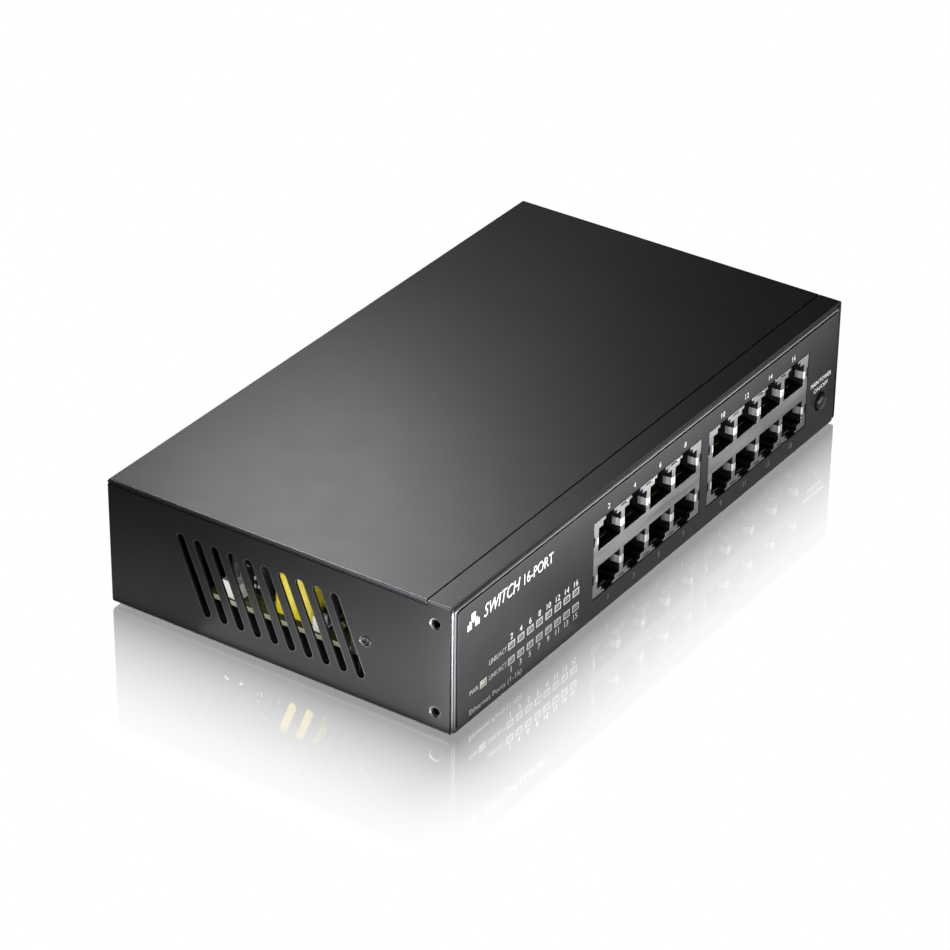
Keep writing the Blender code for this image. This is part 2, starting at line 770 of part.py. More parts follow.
def main_board():
    """The main board runs behind the whole front, and back to the right of the power supply."""
    outline = [
        (-103 * mm, -57.9 * mm),
        (103 * mm, -57.9 * mm),
        (103 * mm, 46 * mm),
        (-38 * mm, 46 * mm),
        (-38 * mm, -33 * mm),
        (-103 * mm, -33 * mm),
    ]
    low, high = main_board_z, main_board_z + board
    cut = [board_holes(pillars_under[low], low - past, high + past)]
    make("main_board", prism(outline, "Z", low, high), "board", cut=cut)
    top = main_floor

    chip_low, chip_high = (11 * mm, -20 * mm), (39 * mm, 8 * mm)
    chip_top = top + 1.8 * mm
    chip = block((*chip_low, top), (*chip_high, chip_top), 0.5 * mm, ("left top", "right top"), 1)
    make("switch_chip", chip, "black plastic")

    fins, fin_wide, fin_tall, sole = 9, 1.2 * mm, 9 * mm, 2.6 * mm
    overhang = 2 * mm
    floor = chip_top + contact
    left, right = chip_low[0] - overhang, chip_high[0] + overhang
    outline = [(left, floor), (right, floor)]
    step = (right - left - fin_wide) / (fins - 1)
    for i in reversed(range(fins)):
        x = left + i * step
        outline += [(x + fin_wide, floor + fin_tall), (x, floor + fin_tall)]
        if i:
            outline += [(x, floor + sole), (x - step + fin_wide, floor + sole)]
    ends = (chip_low[1] - overhang, chip_high[1] + overhang)
    make("chip_heatsink", prism(outline, "Y", *ends), "aluminium")

    can = stadium((62 * mm, 0), (69 * mm, 0), 4.6 * mm)
    make("clock_crystal", prism(can, "Z", top, top + 3.4 * mm), "steel")
    capacitor("board_capacitor", (-20 * mm, 24 * mm), 5 * mm, top, 12 * mm, "black plastic")


def capacitor(name, spot, radius, low, tall, finish):
    """An electrolytic can: a rolled groove near its foot and a rounded shoulder on top."""
    profile = [
        (radius * 0.94, 0),
        (radius, 0.4 * mm),
        (radius, 1.6 * mm),
        (radius * 0.93, 2.1 * mm),
        (radius, 2.6 * mm),
        (radius, tall - 0.5 * mm),
        (radius * 0.93, tall),
    ]
    make(name, turned(profile, (0, 0), "Z", 24), finish, location=(*spot, low))


def transformer():
    """An E core on a bobbin: the core's lower bar lies in a channel under the taped winding."""
    x, y = -90 * mm, 1 * mm
    plate = 0.9 * mm
    core_low = psu_floor + plate + contact
    core_high = psu_floor + 19.8 * mm
    bar = 3 * mm
    leg = 3.2 * mm
    winding_half = (8.7 * mm, 7 * mm)
    window_end = winding_half[1] + contact + 0.2 * mm
    reach = window_end + 2.3 * mm
    frame = block((x - leg, y - reach, core_low), (x + leg, y + reach, core_high))
    windows = []
    for sign in (-1, 1):
        ends = sorted((y + sign * leg, y + sign * window_end))
        low = (x - leg - past, ends[0], core_low + bar)
        windows.append(block(low, (x + leg + past, ends[1], core_high - bar)))
    make("transformer_core", frame, "ferrite", cut=[group(windows)])

    rail_start = y - winding_half[1] - contact
    rail_half = 9.2 * mm
    sole = block((x - 6 * mm, rail_start, psu_floor), (x + 6 * mm, y + reach, psu_floor + plate))
    rail = block(
        (x - rail_half, rail_start - 3 * mm, psu_floor),
        (x + rail_half, rail_start + 0.1 * mm, psu_floor + 5 * mm),
    )
    room = leg + contact
    channel_half = 6 * mm
    channel_low = (x - channel_half, y - 2 * reach, psu_floor + plate)
    channel = block(channel_low, (x + channel_half, y, core_high))
    make("transformer_bobbin", sole, "white plastic", add=[rail], cut=[channel])

    corners = [2 * mm] * 4
    outer_low = (x - winding_half[0], y - winding_half[1])
    outer_high = (x + winding_half[0], y + winding_half[1])
    outer = rounded_rectangle(outer_low, outer_high, corners)
    inner = rounded_rectangle((x - room, y - room), (x + room, y + room), [contact] * 4)
    coil = tube(outer, inner, "Z", core_low, core_high - bar - contact)
    passage_low = (x - room, y - 2 * reach, psu_floor)
    passage = block(passage_low, (x + room, y + 2 * reach, core_low + bar + contact))
    make("transformer_winding", coil, "yellow tape", cut=[passage])


def supply_parts():
    outline = rectangle((-72.25 * mm, 1.5 * mm), (54.5 * mm, 59 * mm))
    low, high = psu_board_z, psu_board_z + board
    holes = board_holes(pillars_under[low], low - past, high + past)
    make("psu_board", prism(outline, "Z", low, high), "tan board", cut=[holes])
    transformer()
    floor = psu_floor
    capacitor("bulk_capacitor", (-86 * mm, 19 * mm), 7.5 * mm, floor, 22 * mm, "black plastic")
    capacitor("output_capacitor", (-57 * mm, -9 * mm), 5 * mm, floor, 16 * mm, "black plastic")
    make("emi_choke", ring_body((-67 * mm, 8 * mm, floor + 3 * mm), 6.2 * mm, 2.9 * mm), "copper wire")
    edges = ("left top", "right top", "front top", "back top")
    film_box = block((-77 * mm, 20 * mm, floor), (-59 * mm, 25.8 * mm, floor + 12 * mm), 0.5 * mm, edges, 1)
    make("x_capacitor", film_box, "yellow tape")
    profile = [
        (2.6 * mm, -10 * mm), (2.6 * mm, -4.6 * mm), (2.3 * mm, -4.5 * mm),
        (2.3 * mm, 4.5 * mm), (2.6 * mm, 4.6 * mm), (2.6 * mm, 10 * mm),
    ]
    spot = (-67 * mm, 28.6 * mm, floor + 2.8 * mm)
    make("mains_fuse", turned(profile, (0, 0), "X", 16), "glass", location=spot)

    plate = [
        (-79.2 * mm, -26 * mm), (-73 * mm, -26 * mm), (-73 * mm, -24.4 * mm), (-77.6 * mm, -24.4 * mm),
        (-77.6 * mm, -4 * mm), (-79.2 * mm, -4 * mm),
    ]
    make("psu_heatsink", prism(plate, "Z", floor, floor + 20 * mm), "aluminium")

    make("mains_connector", connector((-99.2 * mm, 19.6 * mm), (-94 * mm, 26 * mm)), "white plastic")
    make("dc_connector", connector((-58 * mm, -27 * mm), (-47 * mm, -21.6 * mm)), "white plastic")
    supply_sheet()


def connector(low, high):
    """A plain wire connector: a low box with a taller wall along its back."""
    wall_start, wall_top_z, top = high[0] - 1.2 * mm, psu_floor + 7 * mm, psu_floor + 5.6 * mm
    outline = [
        (low[0], psu_floor), (high[0], psu_floor), (high[0], wall_top_z),
        (wall_start, wall_top_z), (wall_start, top), (low[0], top),
    ]
    return prism(outline, "Y", low[1], high[1])


def supply_sheet():
    """The insulating sheet between the power supply board and the steel floor."""
    low = 2.0 * mm
    outline = rectangle((-72 * mm, 2 * mm), (62 * mm, 64 * mm))
    rings = [circle(spot, pillar_radius + 0.5 * mm, 16) for spot in pillars_under[psu_board_z]]
    holes = group([prism(ring, "Z", low - past, low + 2 * past) for ring in rings])
    make("insulation_sheet", prism(outline, "Z", low, low + 0.4 * mm), "sheet", cut=[holes])


# ---------------------------------------------------------------- mains inlet and wires

pin_places = {
    "line": (inlet_place[0] - 7 * mm, inlet_place[1] - 2 * mm),
    "neutral": (inlet_place[0] + 7 * mm, inlet_place[1] - 2 * mm),
    "earth": (inlet_place[0], inlet_place[1] + 2 * mm),
}
pin_rear = back - 24 * mm


def power_inlet():
    x, z = inlet_place
    rear = back + inlet_proud
    floor = rear - 15.5 * mm
    body = prism(rectangle(inlet_place, inlet_size), "Y", back - 20 * mm, back + 0.8 * mm)
    outline = rounded_rectangle(
        (x - inlet_flange[0] / 2, z - inlet_flange[1] / 2),
        (x + inlet_flange[0] / 2, z + inlet_flange[1] / 2),
        [2 * mm] * 4,
    )
    flange = prism(outline, "Y", back + contact, rear)
    a, b, slope = 12 * mm, 8 * mm, 4.5 * mm
    recess = [
        (x - a, z - b), (x + a, z - b), (x + a, z + b - slope),
        (x + a - slope, z + b), (x - a + slope, z + b), (x - a, z + b - slope),
    ]
    hollow = prism(recess, "Y", floor, rear + past)
    blade = (2 * mm, 4 * mm)
    hole = (blade[0] + 2 * contact, blade[1] + 2 * contact)
    slots = [prism(rectangle(spot, hole), "Y", pin_rear, floor + past) for spot in pin_places.values()]
    make("power_inlet", flange, "black plastic", add=[body], cut=[hollow, group(slots)])
    for name, spot in pin_places.items():
        low = (spot[0] - blade[0] / 2, pin_rear, spot[1] - blade[1] / 2)
        high = (spot[0] + blade[0] / 2, rear - 2.5 * mm, spot[1] + blade[1] / 2)
        edges = ("left back", "right back", "top back", "bottom back")
        make(f"inlet_pin_{name}", block(low, high, 0.6 * mm, edges, 1), "steel")


def supply_wires():
    """The three leads inside, each from its inlet pin's tail to where it is held."""
    start = pin_rear - 0.5 * mm
    straight = start - 2 * mm
    top = psu_floor + 7.4 * mm
    line = pin_places["line"]
    neutral = pin_places["neutral"]
    earth = pin_places["earth"]
    route = [
        (line[0], start, line[1]),
        (line[0], straight, line[1]),
        (-90 * mm, 31.5 * mm, 20.5 * mm),
        (-96 * mm, 28.3 * mm, 21.8 * mm),
        (-97.6 * mm, 24.8 * mm, 20.5 * mm),
        (-97.6 * mm, 24.2 * mm, top),
    ]
    wire("line_wire", route, 0.85 * mm, "grey wire")
    route = [
        (neutral[0], start, neutral[1]),
        (neutral[0], straight, neutral[1]),
        (-75 * mm, 30 * mm, 21.5 * mm),
        (-84 * mm, 29.5 * mm, 26 * mm),
        (-93 * mm, 27 * mm, 27.5 * mm),
        (-97.6 * mm, 22.4 * mm, 24 * mm),
        (-97.6 * mm, 21.4 * mm, top),
    ]
    wire("neutral_wire", route, 0.85 * mm, "grey wire")
    route = [
        (earth[0], start, earth[1]),
        (earth[0], straight, earth[1]),
        (-76 * mm, 32.5 * mm, 29 * mm),
        (-68 * mm, 36 * mm, 32 * mm),
        (-59 * mm, 42 * mm, 24 * mm),
        (-55.5 * mm, 47 * mm, 11 * mm),
        (-55.5 * mm, 48 * mm, 1.4 * mm),
    ]
    wire("earth_wire", route, 0.85 * mm, "green wire")


# ---------------------------------------------------------------- assembly

for old in list(bpy.data.objects):
    bpy.data.objects.remove(old)

# The origin is the middle of the whole box, which reaches past the case at the button and the inlet.
case_frame = empty("case_frame", (0, (button_proud - inlet_proud) / 2, foot_drop))

case_parts()
jack_parts()
light_guides()
power_button()
main_board()
supply_parts()
held = [(spot, under) for under, spots in pillars_under.items() for spot in spots]
for number, (spot, under) in enumerate(held, 1):
    board_screw(f"board_screw_{number}", spot, under + board + contact)
power_inlet()
supply_wires()
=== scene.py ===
"""Desktop network switch: the looks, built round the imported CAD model.

Everything is in metres in the CAD frame: +Z up, the front face looking along -Y, and the desk at Z 0.
"""

import json
import math

import bmesh
import bpy
from mathutils import Matrix, Vector

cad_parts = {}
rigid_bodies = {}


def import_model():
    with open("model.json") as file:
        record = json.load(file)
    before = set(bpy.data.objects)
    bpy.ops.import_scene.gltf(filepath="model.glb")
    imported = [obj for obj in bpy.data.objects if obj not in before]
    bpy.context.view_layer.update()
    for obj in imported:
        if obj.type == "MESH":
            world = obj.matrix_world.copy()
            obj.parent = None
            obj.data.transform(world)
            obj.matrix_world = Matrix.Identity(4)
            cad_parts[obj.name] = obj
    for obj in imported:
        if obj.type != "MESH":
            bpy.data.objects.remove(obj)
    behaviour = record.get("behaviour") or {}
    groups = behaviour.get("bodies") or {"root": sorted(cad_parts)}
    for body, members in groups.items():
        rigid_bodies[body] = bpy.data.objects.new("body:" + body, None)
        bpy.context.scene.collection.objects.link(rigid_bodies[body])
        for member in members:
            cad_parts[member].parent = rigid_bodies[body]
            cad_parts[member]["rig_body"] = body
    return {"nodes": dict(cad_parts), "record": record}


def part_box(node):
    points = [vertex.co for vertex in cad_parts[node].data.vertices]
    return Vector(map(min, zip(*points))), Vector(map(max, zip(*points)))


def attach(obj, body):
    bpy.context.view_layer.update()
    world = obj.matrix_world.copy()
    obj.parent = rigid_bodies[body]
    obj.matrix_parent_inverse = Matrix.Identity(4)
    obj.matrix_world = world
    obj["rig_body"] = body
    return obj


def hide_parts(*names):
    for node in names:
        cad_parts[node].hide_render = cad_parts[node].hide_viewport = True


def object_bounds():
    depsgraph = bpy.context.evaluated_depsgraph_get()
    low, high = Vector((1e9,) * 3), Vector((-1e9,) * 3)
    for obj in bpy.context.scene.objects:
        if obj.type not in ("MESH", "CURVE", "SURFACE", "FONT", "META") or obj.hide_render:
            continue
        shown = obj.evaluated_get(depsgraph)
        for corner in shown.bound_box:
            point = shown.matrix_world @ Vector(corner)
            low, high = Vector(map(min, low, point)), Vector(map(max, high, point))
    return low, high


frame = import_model()
cad_low, cad_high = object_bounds()
nodes = frame["nodes"]
openings = {
    opening["name"]: [Vector(corner) for corner in opening["box_m"]]
    for opening in frame["record"]["physics"]["openings"]
}
case_low, case_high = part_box("chassis_shell")
film_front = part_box("front_overlay")[0].y
shield_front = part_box("jack_shield_left")[0].y

mm = 0.001
WHITE, BLACK = (1.0, 1.0, 1.0, 1.0), (0.0, 0.0, 0.0, 1.0)

# Where the case is cut through, its cut walls get a painted shade for their dark insides: outside the side
# walls' inner faces, between these heights, and on the front edge of the folded case.
WALL_INNER = 106.5 * mm
CUTS_BOTTOM, CUTS_TOP = 3.5 * mm, 39 * mm
FRONT_CUT, FRONT_CUT_SLACK = -59.55 * mm, 0.2 * mm
CUT_ROUGHNESS = 0.9


# ---------------------------------------------------------------- shader nodes


def node(tree, kind, sockets=None, **settings):
    """A shader node, with its settings, and its sockets either set to a value or linked."""
    made = tree.nodes.new("ShaderNode" + kind)
    for name, value in settings.items():
        setattr(made, name, value)
    for key, value in (sockets or {}).items():
        if isinstance(value, bpy.types.NodeSocket):
            tree.links.new(value, made.inputs[key])
        else:
            made.inputs[key].default_value = value
    return made


def spots(tree, stretch=(1, 1, 1)):
    """The point on the object, in metres, with each axis scaled by stretch."""
    where = node(tree, "TexCoord").outputs["Object"]
    return node(tree, "Mapping", {"Vector": where, "Scale": stretch}).outputs["Vector"]


def maths(tree, operation, first, second=None, **settings):
    """The result of a Math node."""
    values = {0: first} if second is None else {0: first, 1: second}
    return node(tree, "Math", values, operation=operation, **settings).outputs[0]


def vector_maths(tree, operation, first, second=None):
    """The vector that a Vector Math node gives."""
    values = {0: first} if second is None else {0: first, 1: second}
    return node(tree, "VectorMath", values, operation=operation).outputs[0]


def noise(tree, scale, detail=3.0, stretch=(1, 1, 1)):
    """Fractal noise of that many waves a metre."""
    sockets = {"Vector": spots(tree, stretch), "Scale": scale, "Detail": detail, "Roughness": 0.5}
    return node(tree, "TexNoise", sockets).outputs["Fac"]


def spread(tree, factor, low, high, start=0.3, end=0.7):
    """Maps a factor to a range of values."""
    sockets = {"Value": factor, "From Min": start, "From Max": end, "To Min": low, "To Max": high}
    return node(tree, "MapRange", sockets).outputs["Result"]


def mix(tree, factor, first, second):
    """A colour between two colours."""
    made = node(tree, "Mix", data_type="RGBA")
    for index, value in ((0, factor), (6, first), (7, second)):
        if isinstance(value, bpy.types.NodeSocket):
            tree.links.new(value, made.inputs[index])
        else:
            made.inputs[index].default_value = value
    return made.outputs[2]


def tint(colour, share=1.0):
    """A colour with its brightness scaled, and an alpha of one."""
    return tuple(c * share for c in colour) + (1.0,)


def blank(name):
    """A new material with only its Principled shader and its output."""
    material = bpy.data.materials.new(name)
    material.use_nodes = True
    tree = material.node_tree
    return material, tree, tree.nodes["Principled BSDF"]


def link_relief(tree, shader, height, depth, **sockets):
    """Gives a shader a bumpy surface, from a height between 0 and 1 and a depth in millimetres."""
    bump = node(tree, "Bump", {"Height": height, "Distance": depth * mm, **sockets})
    tree.links.new(bump.outputs["Normal"], shader.inputs["Normal"])


def turning(tree):
    """Two factors: one where the surface turns away from the three main directions, and the same, weaker
    where it does not also look upwards, which places the painted highlight round bends."""
    normal = node(tree, "NewGeometry").outputs["Normal"]
    sizes = node(tree, "SeparateXYZ", {0: vector_maths(tree, "ABSOLUTE", normal)}).outputs
    longest = maths(tree, "MAXIMUM", maths(tree, "MAXIMUM", sizes["X"], sizes["Y"]), sizes["Z"])
    turned = spread(tree, longest, 1.0, 0.0, 0.95, 0.99)
    upwards = node(tree, "SeparateXYZ", {0: normal}).outputs["Z"]
    lift = spread(tree, upwards, 0.3, 1.0, 0.45, 0.75)
    return turned, maths(tree, "MULTIPLY", turned, lift)


def cut_walls(tree):
    """One on what is punched through the case's left and right sides, and on the sleeve's own front cut:
    where the painted shade goes.
    """
    geometry = node(tree, "NewGeometry").outputs
    where = node(tree, "SeparateXYZ", {0: geometry["Position"]}).outputs
    facing = node(tree, "SeparateXYZ", {0: geometry["Normal"]}).outputs

    def all_of(*tests):
        factor = 1.0
        for operation, value, limit in tests:
            factor = maths(tree, "MULTIPLY", maths(tree, operation, value, limit), factor)
        return factor

    reach = maths(tree, "ABSOLUTE", where["X"])
    sideways = maths(tree, "ABSOLUTE", facing["X"])
    punched = all_of(
        ("GREATER_THAN", reach, WALL_INNER),
        ("LESS_THAN", sideways, 0.35),
        ("LESS_THAN", where["Z"], CUTS_TOP),
        ("GREATER_THAN", where["Z"], CUTS_BOTTOM),
    )
    sheared = all_of(
        ("LESS_THAN", facing["Y"], -0.7),
        ("GREATER_THAN", where["Y"], FRONT_CUT - FRONT_CUT_SLACK),
        ("LESS_THAN", where["Y"], FRONT_CUT + FRONT_CUT_SLACK),
    )
    return maths(tree, "MAXIMUM", punched, sheared)


def finish(
    name, colour, roughness, metallic=0.0, shade=0.15, mottle=90.0, rough=0.06, grain=2200.0, depth=0.02,
    stretch=(1, 1, 1), specks=None, bend_gloss_and_highlight=None, cut_shade=None, **sockets
):
    """A material whose colour drifts by shade, whose roughness drifts by rough, and whose surface has a
    grain of that many waves a metre and that depth in millimetres. specks is (colour, scale, share).
    bend_gloss_and_highlight is (roughness, lightness) round bends and edges: a smoother coating there, and a
    painted highlight, the colour lightened that many times and, on a material that is not metal, made
    metallic, most where the bend faces upwards. cut_shade, which needs bend_gloss_and_highlight, is the share
    of the colour left on the walls of what is punched through the sides and on the sleeve's front cut, a
    painted shade for their dark insides; these walls are also made dull."""
    material, tree, shader = blank(name)
    drift = spread(tree, noise(tree, mottle, 4.0, stretch), 0.0, 1.0)
    base = mix(tree, drift, tint(colour, 1 - shade), tint(colour, 1 + shade))
    # Painted highlight: round bends the colour is lightened, most where they face upwards.
    if bend_gloss_and_highlight:
        turned, highlight_share = turning(tree)
        base = mix(tree, highlight_share, base, tint(colour, bend_gloss_and_highlight[1]))
    if specks:
        speck_colour, scale, share = specks
        dots = spread(tree, noise(tree, scale, 1.0), 0.0, 1.0, 1 - share, 1 - share + 0.05)
        base = mix(tree, dots, base, tint(speck_colour))
    # Painted shade: the cut walls darkened to that share of the colour, and kept out of the painted
    # highlight.
    if cut_shade is not None:
        walls = cut_walls(tree)
        highlight_share = maths(tree, "SUBTRACT", highlight_share, walls, use_clamp=True)
        base = mix(tree, walls, base, tint(colour, cut_shade))
    tree.links.new(base, shader.inputs["Base Color"])
    worn = spread(tree, noise(tree, mottle * 3.1, 5.0, stretch), roughness - rough, roughness + rough)
    if bend_gloss_and_highlight:
        worn = node(tree, "Mix", {0: turned, 2: worn, 3: bend_gloss_and_highlight[0]}).outputs[0]
    if cut_shade is not None:
        worn = node(tree, "Mix", {0: walls, 2: worn, 3: CUT_ROUGHNESS}).outputs[0]
    tree.links.new(worn, shader.inputs["Roughness"])
    link_relief(tree, shader, noise(tree, grain, 2.0, stretch), depth)
    shader.inputs["Metallic"].default_value = metallic
    # The painted highlight is also made metallic on a material that is not metal.
    if bend_gloss_and_highlight and not metallic:
        tree.links.new(highlight_share, shader.inputs["Metallic"])
    for key, value in sockets.items():
        shader.inputs[key.replace("_", " ").title().replace("Ior", "IOR")].default_value = value
    return material


# ---------------------------------------------------------------- materials


def solder_mask(name, colour, trace_colour, edge_colour):
    """A circuit board: traces under the mask, as bands in two directions by patches, and bare cut edges."""
    material, tree, shader = blank(name)
    bands = []
    for stretch in ((1, 0, 0), (0, 1, 0)):
        wave = node(tree, "TexWave", {"Vector": spots(tree, stretch), "Scale": 130.0, "Distortion": 0.0})
        bands.append(spread(tree, wave.outputs["Fac"], 0.0, 1.0, 0.55, 0.65))
    cells = node(tree, "TexVoronoi", {"Vector": spots(tree), "Scale": 110.0}, distance="CHEBYCHEV")
    patch = spread(tree, cells.outputs["Color"], 0.0, 1.0, 0.45, 0.5)
    traces = node(tree, "Mix", {0: patch, 2: bands[0], 3: bands[1]}).outputs[0]
    face = mix(tree, traces, tint(colour), tint(trace_colour))
    upright = node(tree, "SeparateXYZ", {0: node(tree, "NewGeometry").outputs["Normal"]}).outputs["Z"]
    flat = spread(tree, maths(tree, "ABSOLUTE", upright), 0.0, 1.0, 0.6, 0.8)
    fibres = mix(tree, noise(tree, 2600.0, 2.0, (1, 1, 3)), tint(edge_colour, 0.75), tint(edge_colour, 1.2))
    tree.links.new(mix(tree, flat, fibres, face), shader.inputs["Base Color"])
    tree.links.new(spread(tree, noise(tree, 300.0), 0.3, 0.42), shader.inputs["Roughness"])
    link_relief(tree, shader, traces, 0.03)
    shader.inputs["Coat Weight"].default_value = 0.3
    return material


def tape(name, colour):
    """Polyester tape in layers: fine lines along its edges, and a slightly uneven gloss."""
    material, tree, shader = blank(name)
    layers = node(tree, "TexWave", {"Vector": spots(tree, (0, 0.15, 1)), "Scale": 260.0, "Distortion": 1.5})
    drift = spread(tree, noise(tree, 260.0, 4.0), 0.0, 1.0)
    tree.links.new(mix(tree, drift, tint(colour, 0.86), tint(colour, 1.1)), shader.inputs["Base Color"])
    tree.links.new(spread(tree, noise(tree, 500.0), 0.2, 0.36), shader.inputs["Roughness"])
    link_relief(tree, shader, layers.outputs["Fac"], 0.04, Strength=0.6)
    shader.inputs["Coat Weight"].default_value = 0.4
    return material


def lens(name, colour, glow=0.0, glow_colour=None):
    """A moulded light guide, with a fine frosting on its face, lit from behind where glow is set."""
    material = finish(name, colour, 0.3, shade=0.1, mottle=900.0, grain=5200.0, depth=0.03, coat_weight=0.6)
    shader = material.node_tree.nodes["Principled BSDF"]
    shader.inputs["Subsurface Weight"].default_value = 0.3
    shader.inputs["Subsurface Scale"].default_value = 0.5 * mm
    if glow:
        tree = material.node_tree
        drift = spread(tree, noise(tree, 1500.0), 0.0, 1.0)
        light = mix(tree, drift, tint(glow_colour, 0.8), tint(glow_colour))
        tree.links.new(light, shader.inputs["Emission Color"])
        shader.inputs["Emission Strength"].default_value = glow
    return material


def turned_coil(name, colour):
    """Enamelled wire, wound close: fine ridges round the core, the colour darker in the grooves between them
    as a painted shade.
    """
    material, tree, shader = blank(name)
    wave = node(tree, "TexWave", {"Vector": spots(tree, (1, 1, 0.4)), "Scale": 420.0, "Distortion": 0.6})
    turns = wave.outputs["Fac"]
    # Painted shade: the colour follows the same waves as the bump, darkest in the grooves.
    tree.links.new(mix(tree, turns, tint(colour, 0.45), tint(colour, 1.15)), shader.inputs["Base Color"])
    tree.links.new(spread(tree, noise(tree, 400.0), 0.2, 0.34), shader.inputs["Roughness"])
    link_relief(tree, shader, turns, 0.15)
    shader.inputs["Metallic"].default_value = 0.6
    return material


LAMINATE = (0.6, 0.56, 0.4)

MATERIALS = {
    # The powder coat's bends carry a painted highlight, its colour lightened 36 times.
    "painted_case": finish(
        "satin_black_powder_coat", (0.016, 0.0165, 0.0175), 0.4, shade=0.1, mottle=30.0, rough=0.015,
        grain=1700.0, depth=0.01, specks=((0.026, 0.027, 0.028), 5200.0, 0.3), specular_ior_level=0.3,
        # Its punched walls and front cut carry a painted shade, a fifth of its colour.
        bend_gloss_and_highlight=(0.3, 36.0), cut_shade=0.2,
    ),
    "overlay_film": finish(
        "printed_film", (0.016, 0.0165, 0.0175), 0.4, shade=0.06, mottle=50.0, rough=0.015, grain=3600.0,
        depth=0.004, specular_ior_level=0.3,
    ),
    # The steel's bends carry a painted highlight, its colour lightened 1.6 times.
    "shield_steel": finish(
        "tinned_steel", (0.285, 0.288, 0.293), 0.42, 1.0, shade=0.08, mottle=120.0, rough=0.07, grain=900.0,
        depth=0.006, stretch=(0.12, 1, 1), bend_gloss_and_highlight=(0.3, 1.6),
    ),
    "screw_zinc": finish(
        "black_zinc", (0.095, 0.095, 0.1), 0.36, 1.0, shade=0.12, mottle=700.0, rough=0.08, grain=2600.0,
        depth=0.008,
    ),
    "black_plastic": finish(
        "black_moulding", (0.009, 0.009, 0.01), 0.5, shade=0.15, mottle=200.0, grain=3000.0, depth=0.015,
        specular_ior_level=0.2,
    ),
    "white_plastic": finish(
        "white_moulding", (0.74, 0.73, 0.69), 0.45, shade=0.05, mottle=150.0, grain=2400.0, depth=0.012
    ),
    "clear_plastic": lens("light_guide_unlit", (0.2, 0.203, 0.207)),
    "foot_rubber": finish(
        "foot_rubber", (0.02, 0.02, 0.021), 0.75, shade=0.2, mottle=220.0, grain=1500.0, depth=0.06
    ),
    "green_board": solder_mask("green_solder_mask", (0.003, 0.02, 0.011), (0.006, 0.036, 0.02), LAMINATE),
    "tan_board": solder_mask("olive_solder_mask", (0.075, 0.072, 0.014), (0.11, 0.105, 0.02), LAMINATE),
    "ferrite": finish(
        "ferrite", (0.03, 0.03, 0.034), 0.4, shade=0.25, mottle=500.0, rough=0.1, grain=1500.0, depth=0.05
    ),
    "yellow_tape": tape("polyester_tape", (0.68, 0.56, 0.008)),
    "aluminium_sink": finish(
        "extruded_aluminium", (0.62, 0.63, 0.65), 0.36, 1.0, shade=0.08, rough=0.08, grain=1300.0, depth=0.01,
        stretch=(1, 0.1, 1),
    ),
    "fuse_glass": finish(
        "fuse_glass", (0.75, 0.8, 0.8), 0.08, shade=0.03, rough=0.02, depth=0.004, transmission_weight=0.85,
        ior=1.48,
    ),
    "copper_winding": turned_coil("enamelled_copper", (0.55, 0.2, 0.06)),
    "grey_wire": finish(
        "grey_insulation", (0.03, 0.031, 0.033), 0.38, shade=0.08, mottle=300.0, grain=1500.0, depth=0.02
    ),
    "green_wire": finish(
        "green_insulation", (0.12, 0.38, 0.03), 0.38, shade=0.1, mottle=300.0, grain=1500.0, depth=0.02,
        specks=((0.7, 0.6, 0.02), 120.0, 0.45),
    ),
    "insulation": finish(
        "fibre_sheet", (0.02, 0.02, 0.022), 0.6, shade=0.2, mottle=180.0, grain=2600.0, depth=0.03
    ),
}
GOLD = finish(
    "gold_contact", (0.4, 0.28, 0.12), 0.2, 1.0, shade=0.1, mottle=900.0, grain=2500.0, depth=0.004
)
# A painted highlight for the slot rims: a grey lighter than the coating, on rims whose shape also catches the
# light.
RIM_HIGHLIGHT = finish(
    "painted_rim_highlight", (0.06, 0.061, 0.063), 0.36, 0.35, shade=0.15, mottle=900.0, rough=0.08, grain=2600.0,
    depth=0.006,
)
INK = finish("white_ink", (0.8, 0.8, 0.79), 0.5, shade=0.05, mottle=700.0, grain=5200.0, depth=0.01)
GREY_INK = finish("grey_ink", (0.5, 0.505, 0.51), 0.5, shade=0.05, mottle=700.0, grain=5200.0, depth=0.01)
LIT = lens("light_guide_lit", (0.25, 0.27, 0.2), 0.66, (0.4, 0.44, 0.17))
TAB = finish(
    "spring_steel", (0.8, 0.805, 0.815), 0.42, 0.75, shade=0.06, mottle=300.0, grain=1500.0, depth=0.004
)
BUTTON = finish(
    "button_plastic", (0.02, 0.02, 0.021), 0.34, shade=0.12, mottle=300.0, grain=3000.0, depth=0.01
)
SOLDER = finish("solder", (0.6, 0.6, 0.61), 0.3, 1.0, shade=0.1, mottle=900.0, grain=2500.0, depth=0.01)
RESISTOR = finish(
    "ceramic_body", (0.2, 0.155, 0.095), 0.4, shade=0.12, mottle=500.0, grain=2600.0, depth=0.01,
    specks=((0.12, 0.03, 0.012), 700.0, 0.3),
)
DISC = finish("epoxy_disc", (0.05, 0.16, 0.4), 0.35, shade=0.1, mottle=400.0, grain=2000.0, depth=0.01)
LABEL = finish("label_paper", (0.7, 0.7, 0.69), 0.55, shade=0.04, mottle=200.0, grain=3500.0, depth=0.01)


# ---------------------------------------------------------------- pieces

WELD = 0.001 * mm
SHARP_ANGLE = math.radians(38)


def piece(name, bm, material, body="case", smooth=40.0):
    """A new piece from a bmesh, shaded smooth up to an angle, riding on a CAD body."""
    mesh = bpy.data.meshes.new(name)
    bm.to_mesh(mesh)
    bm.free()
    mesh.materials.append(material)
    mesh.shade_smooth()
    mesh.set_sharp_from_angle(angle=math.radians(smooth))
    made = bpy.data.objects.new(name, mesh)
    bpy.context.scene.collection.objects.link(made)
    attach(made, body)


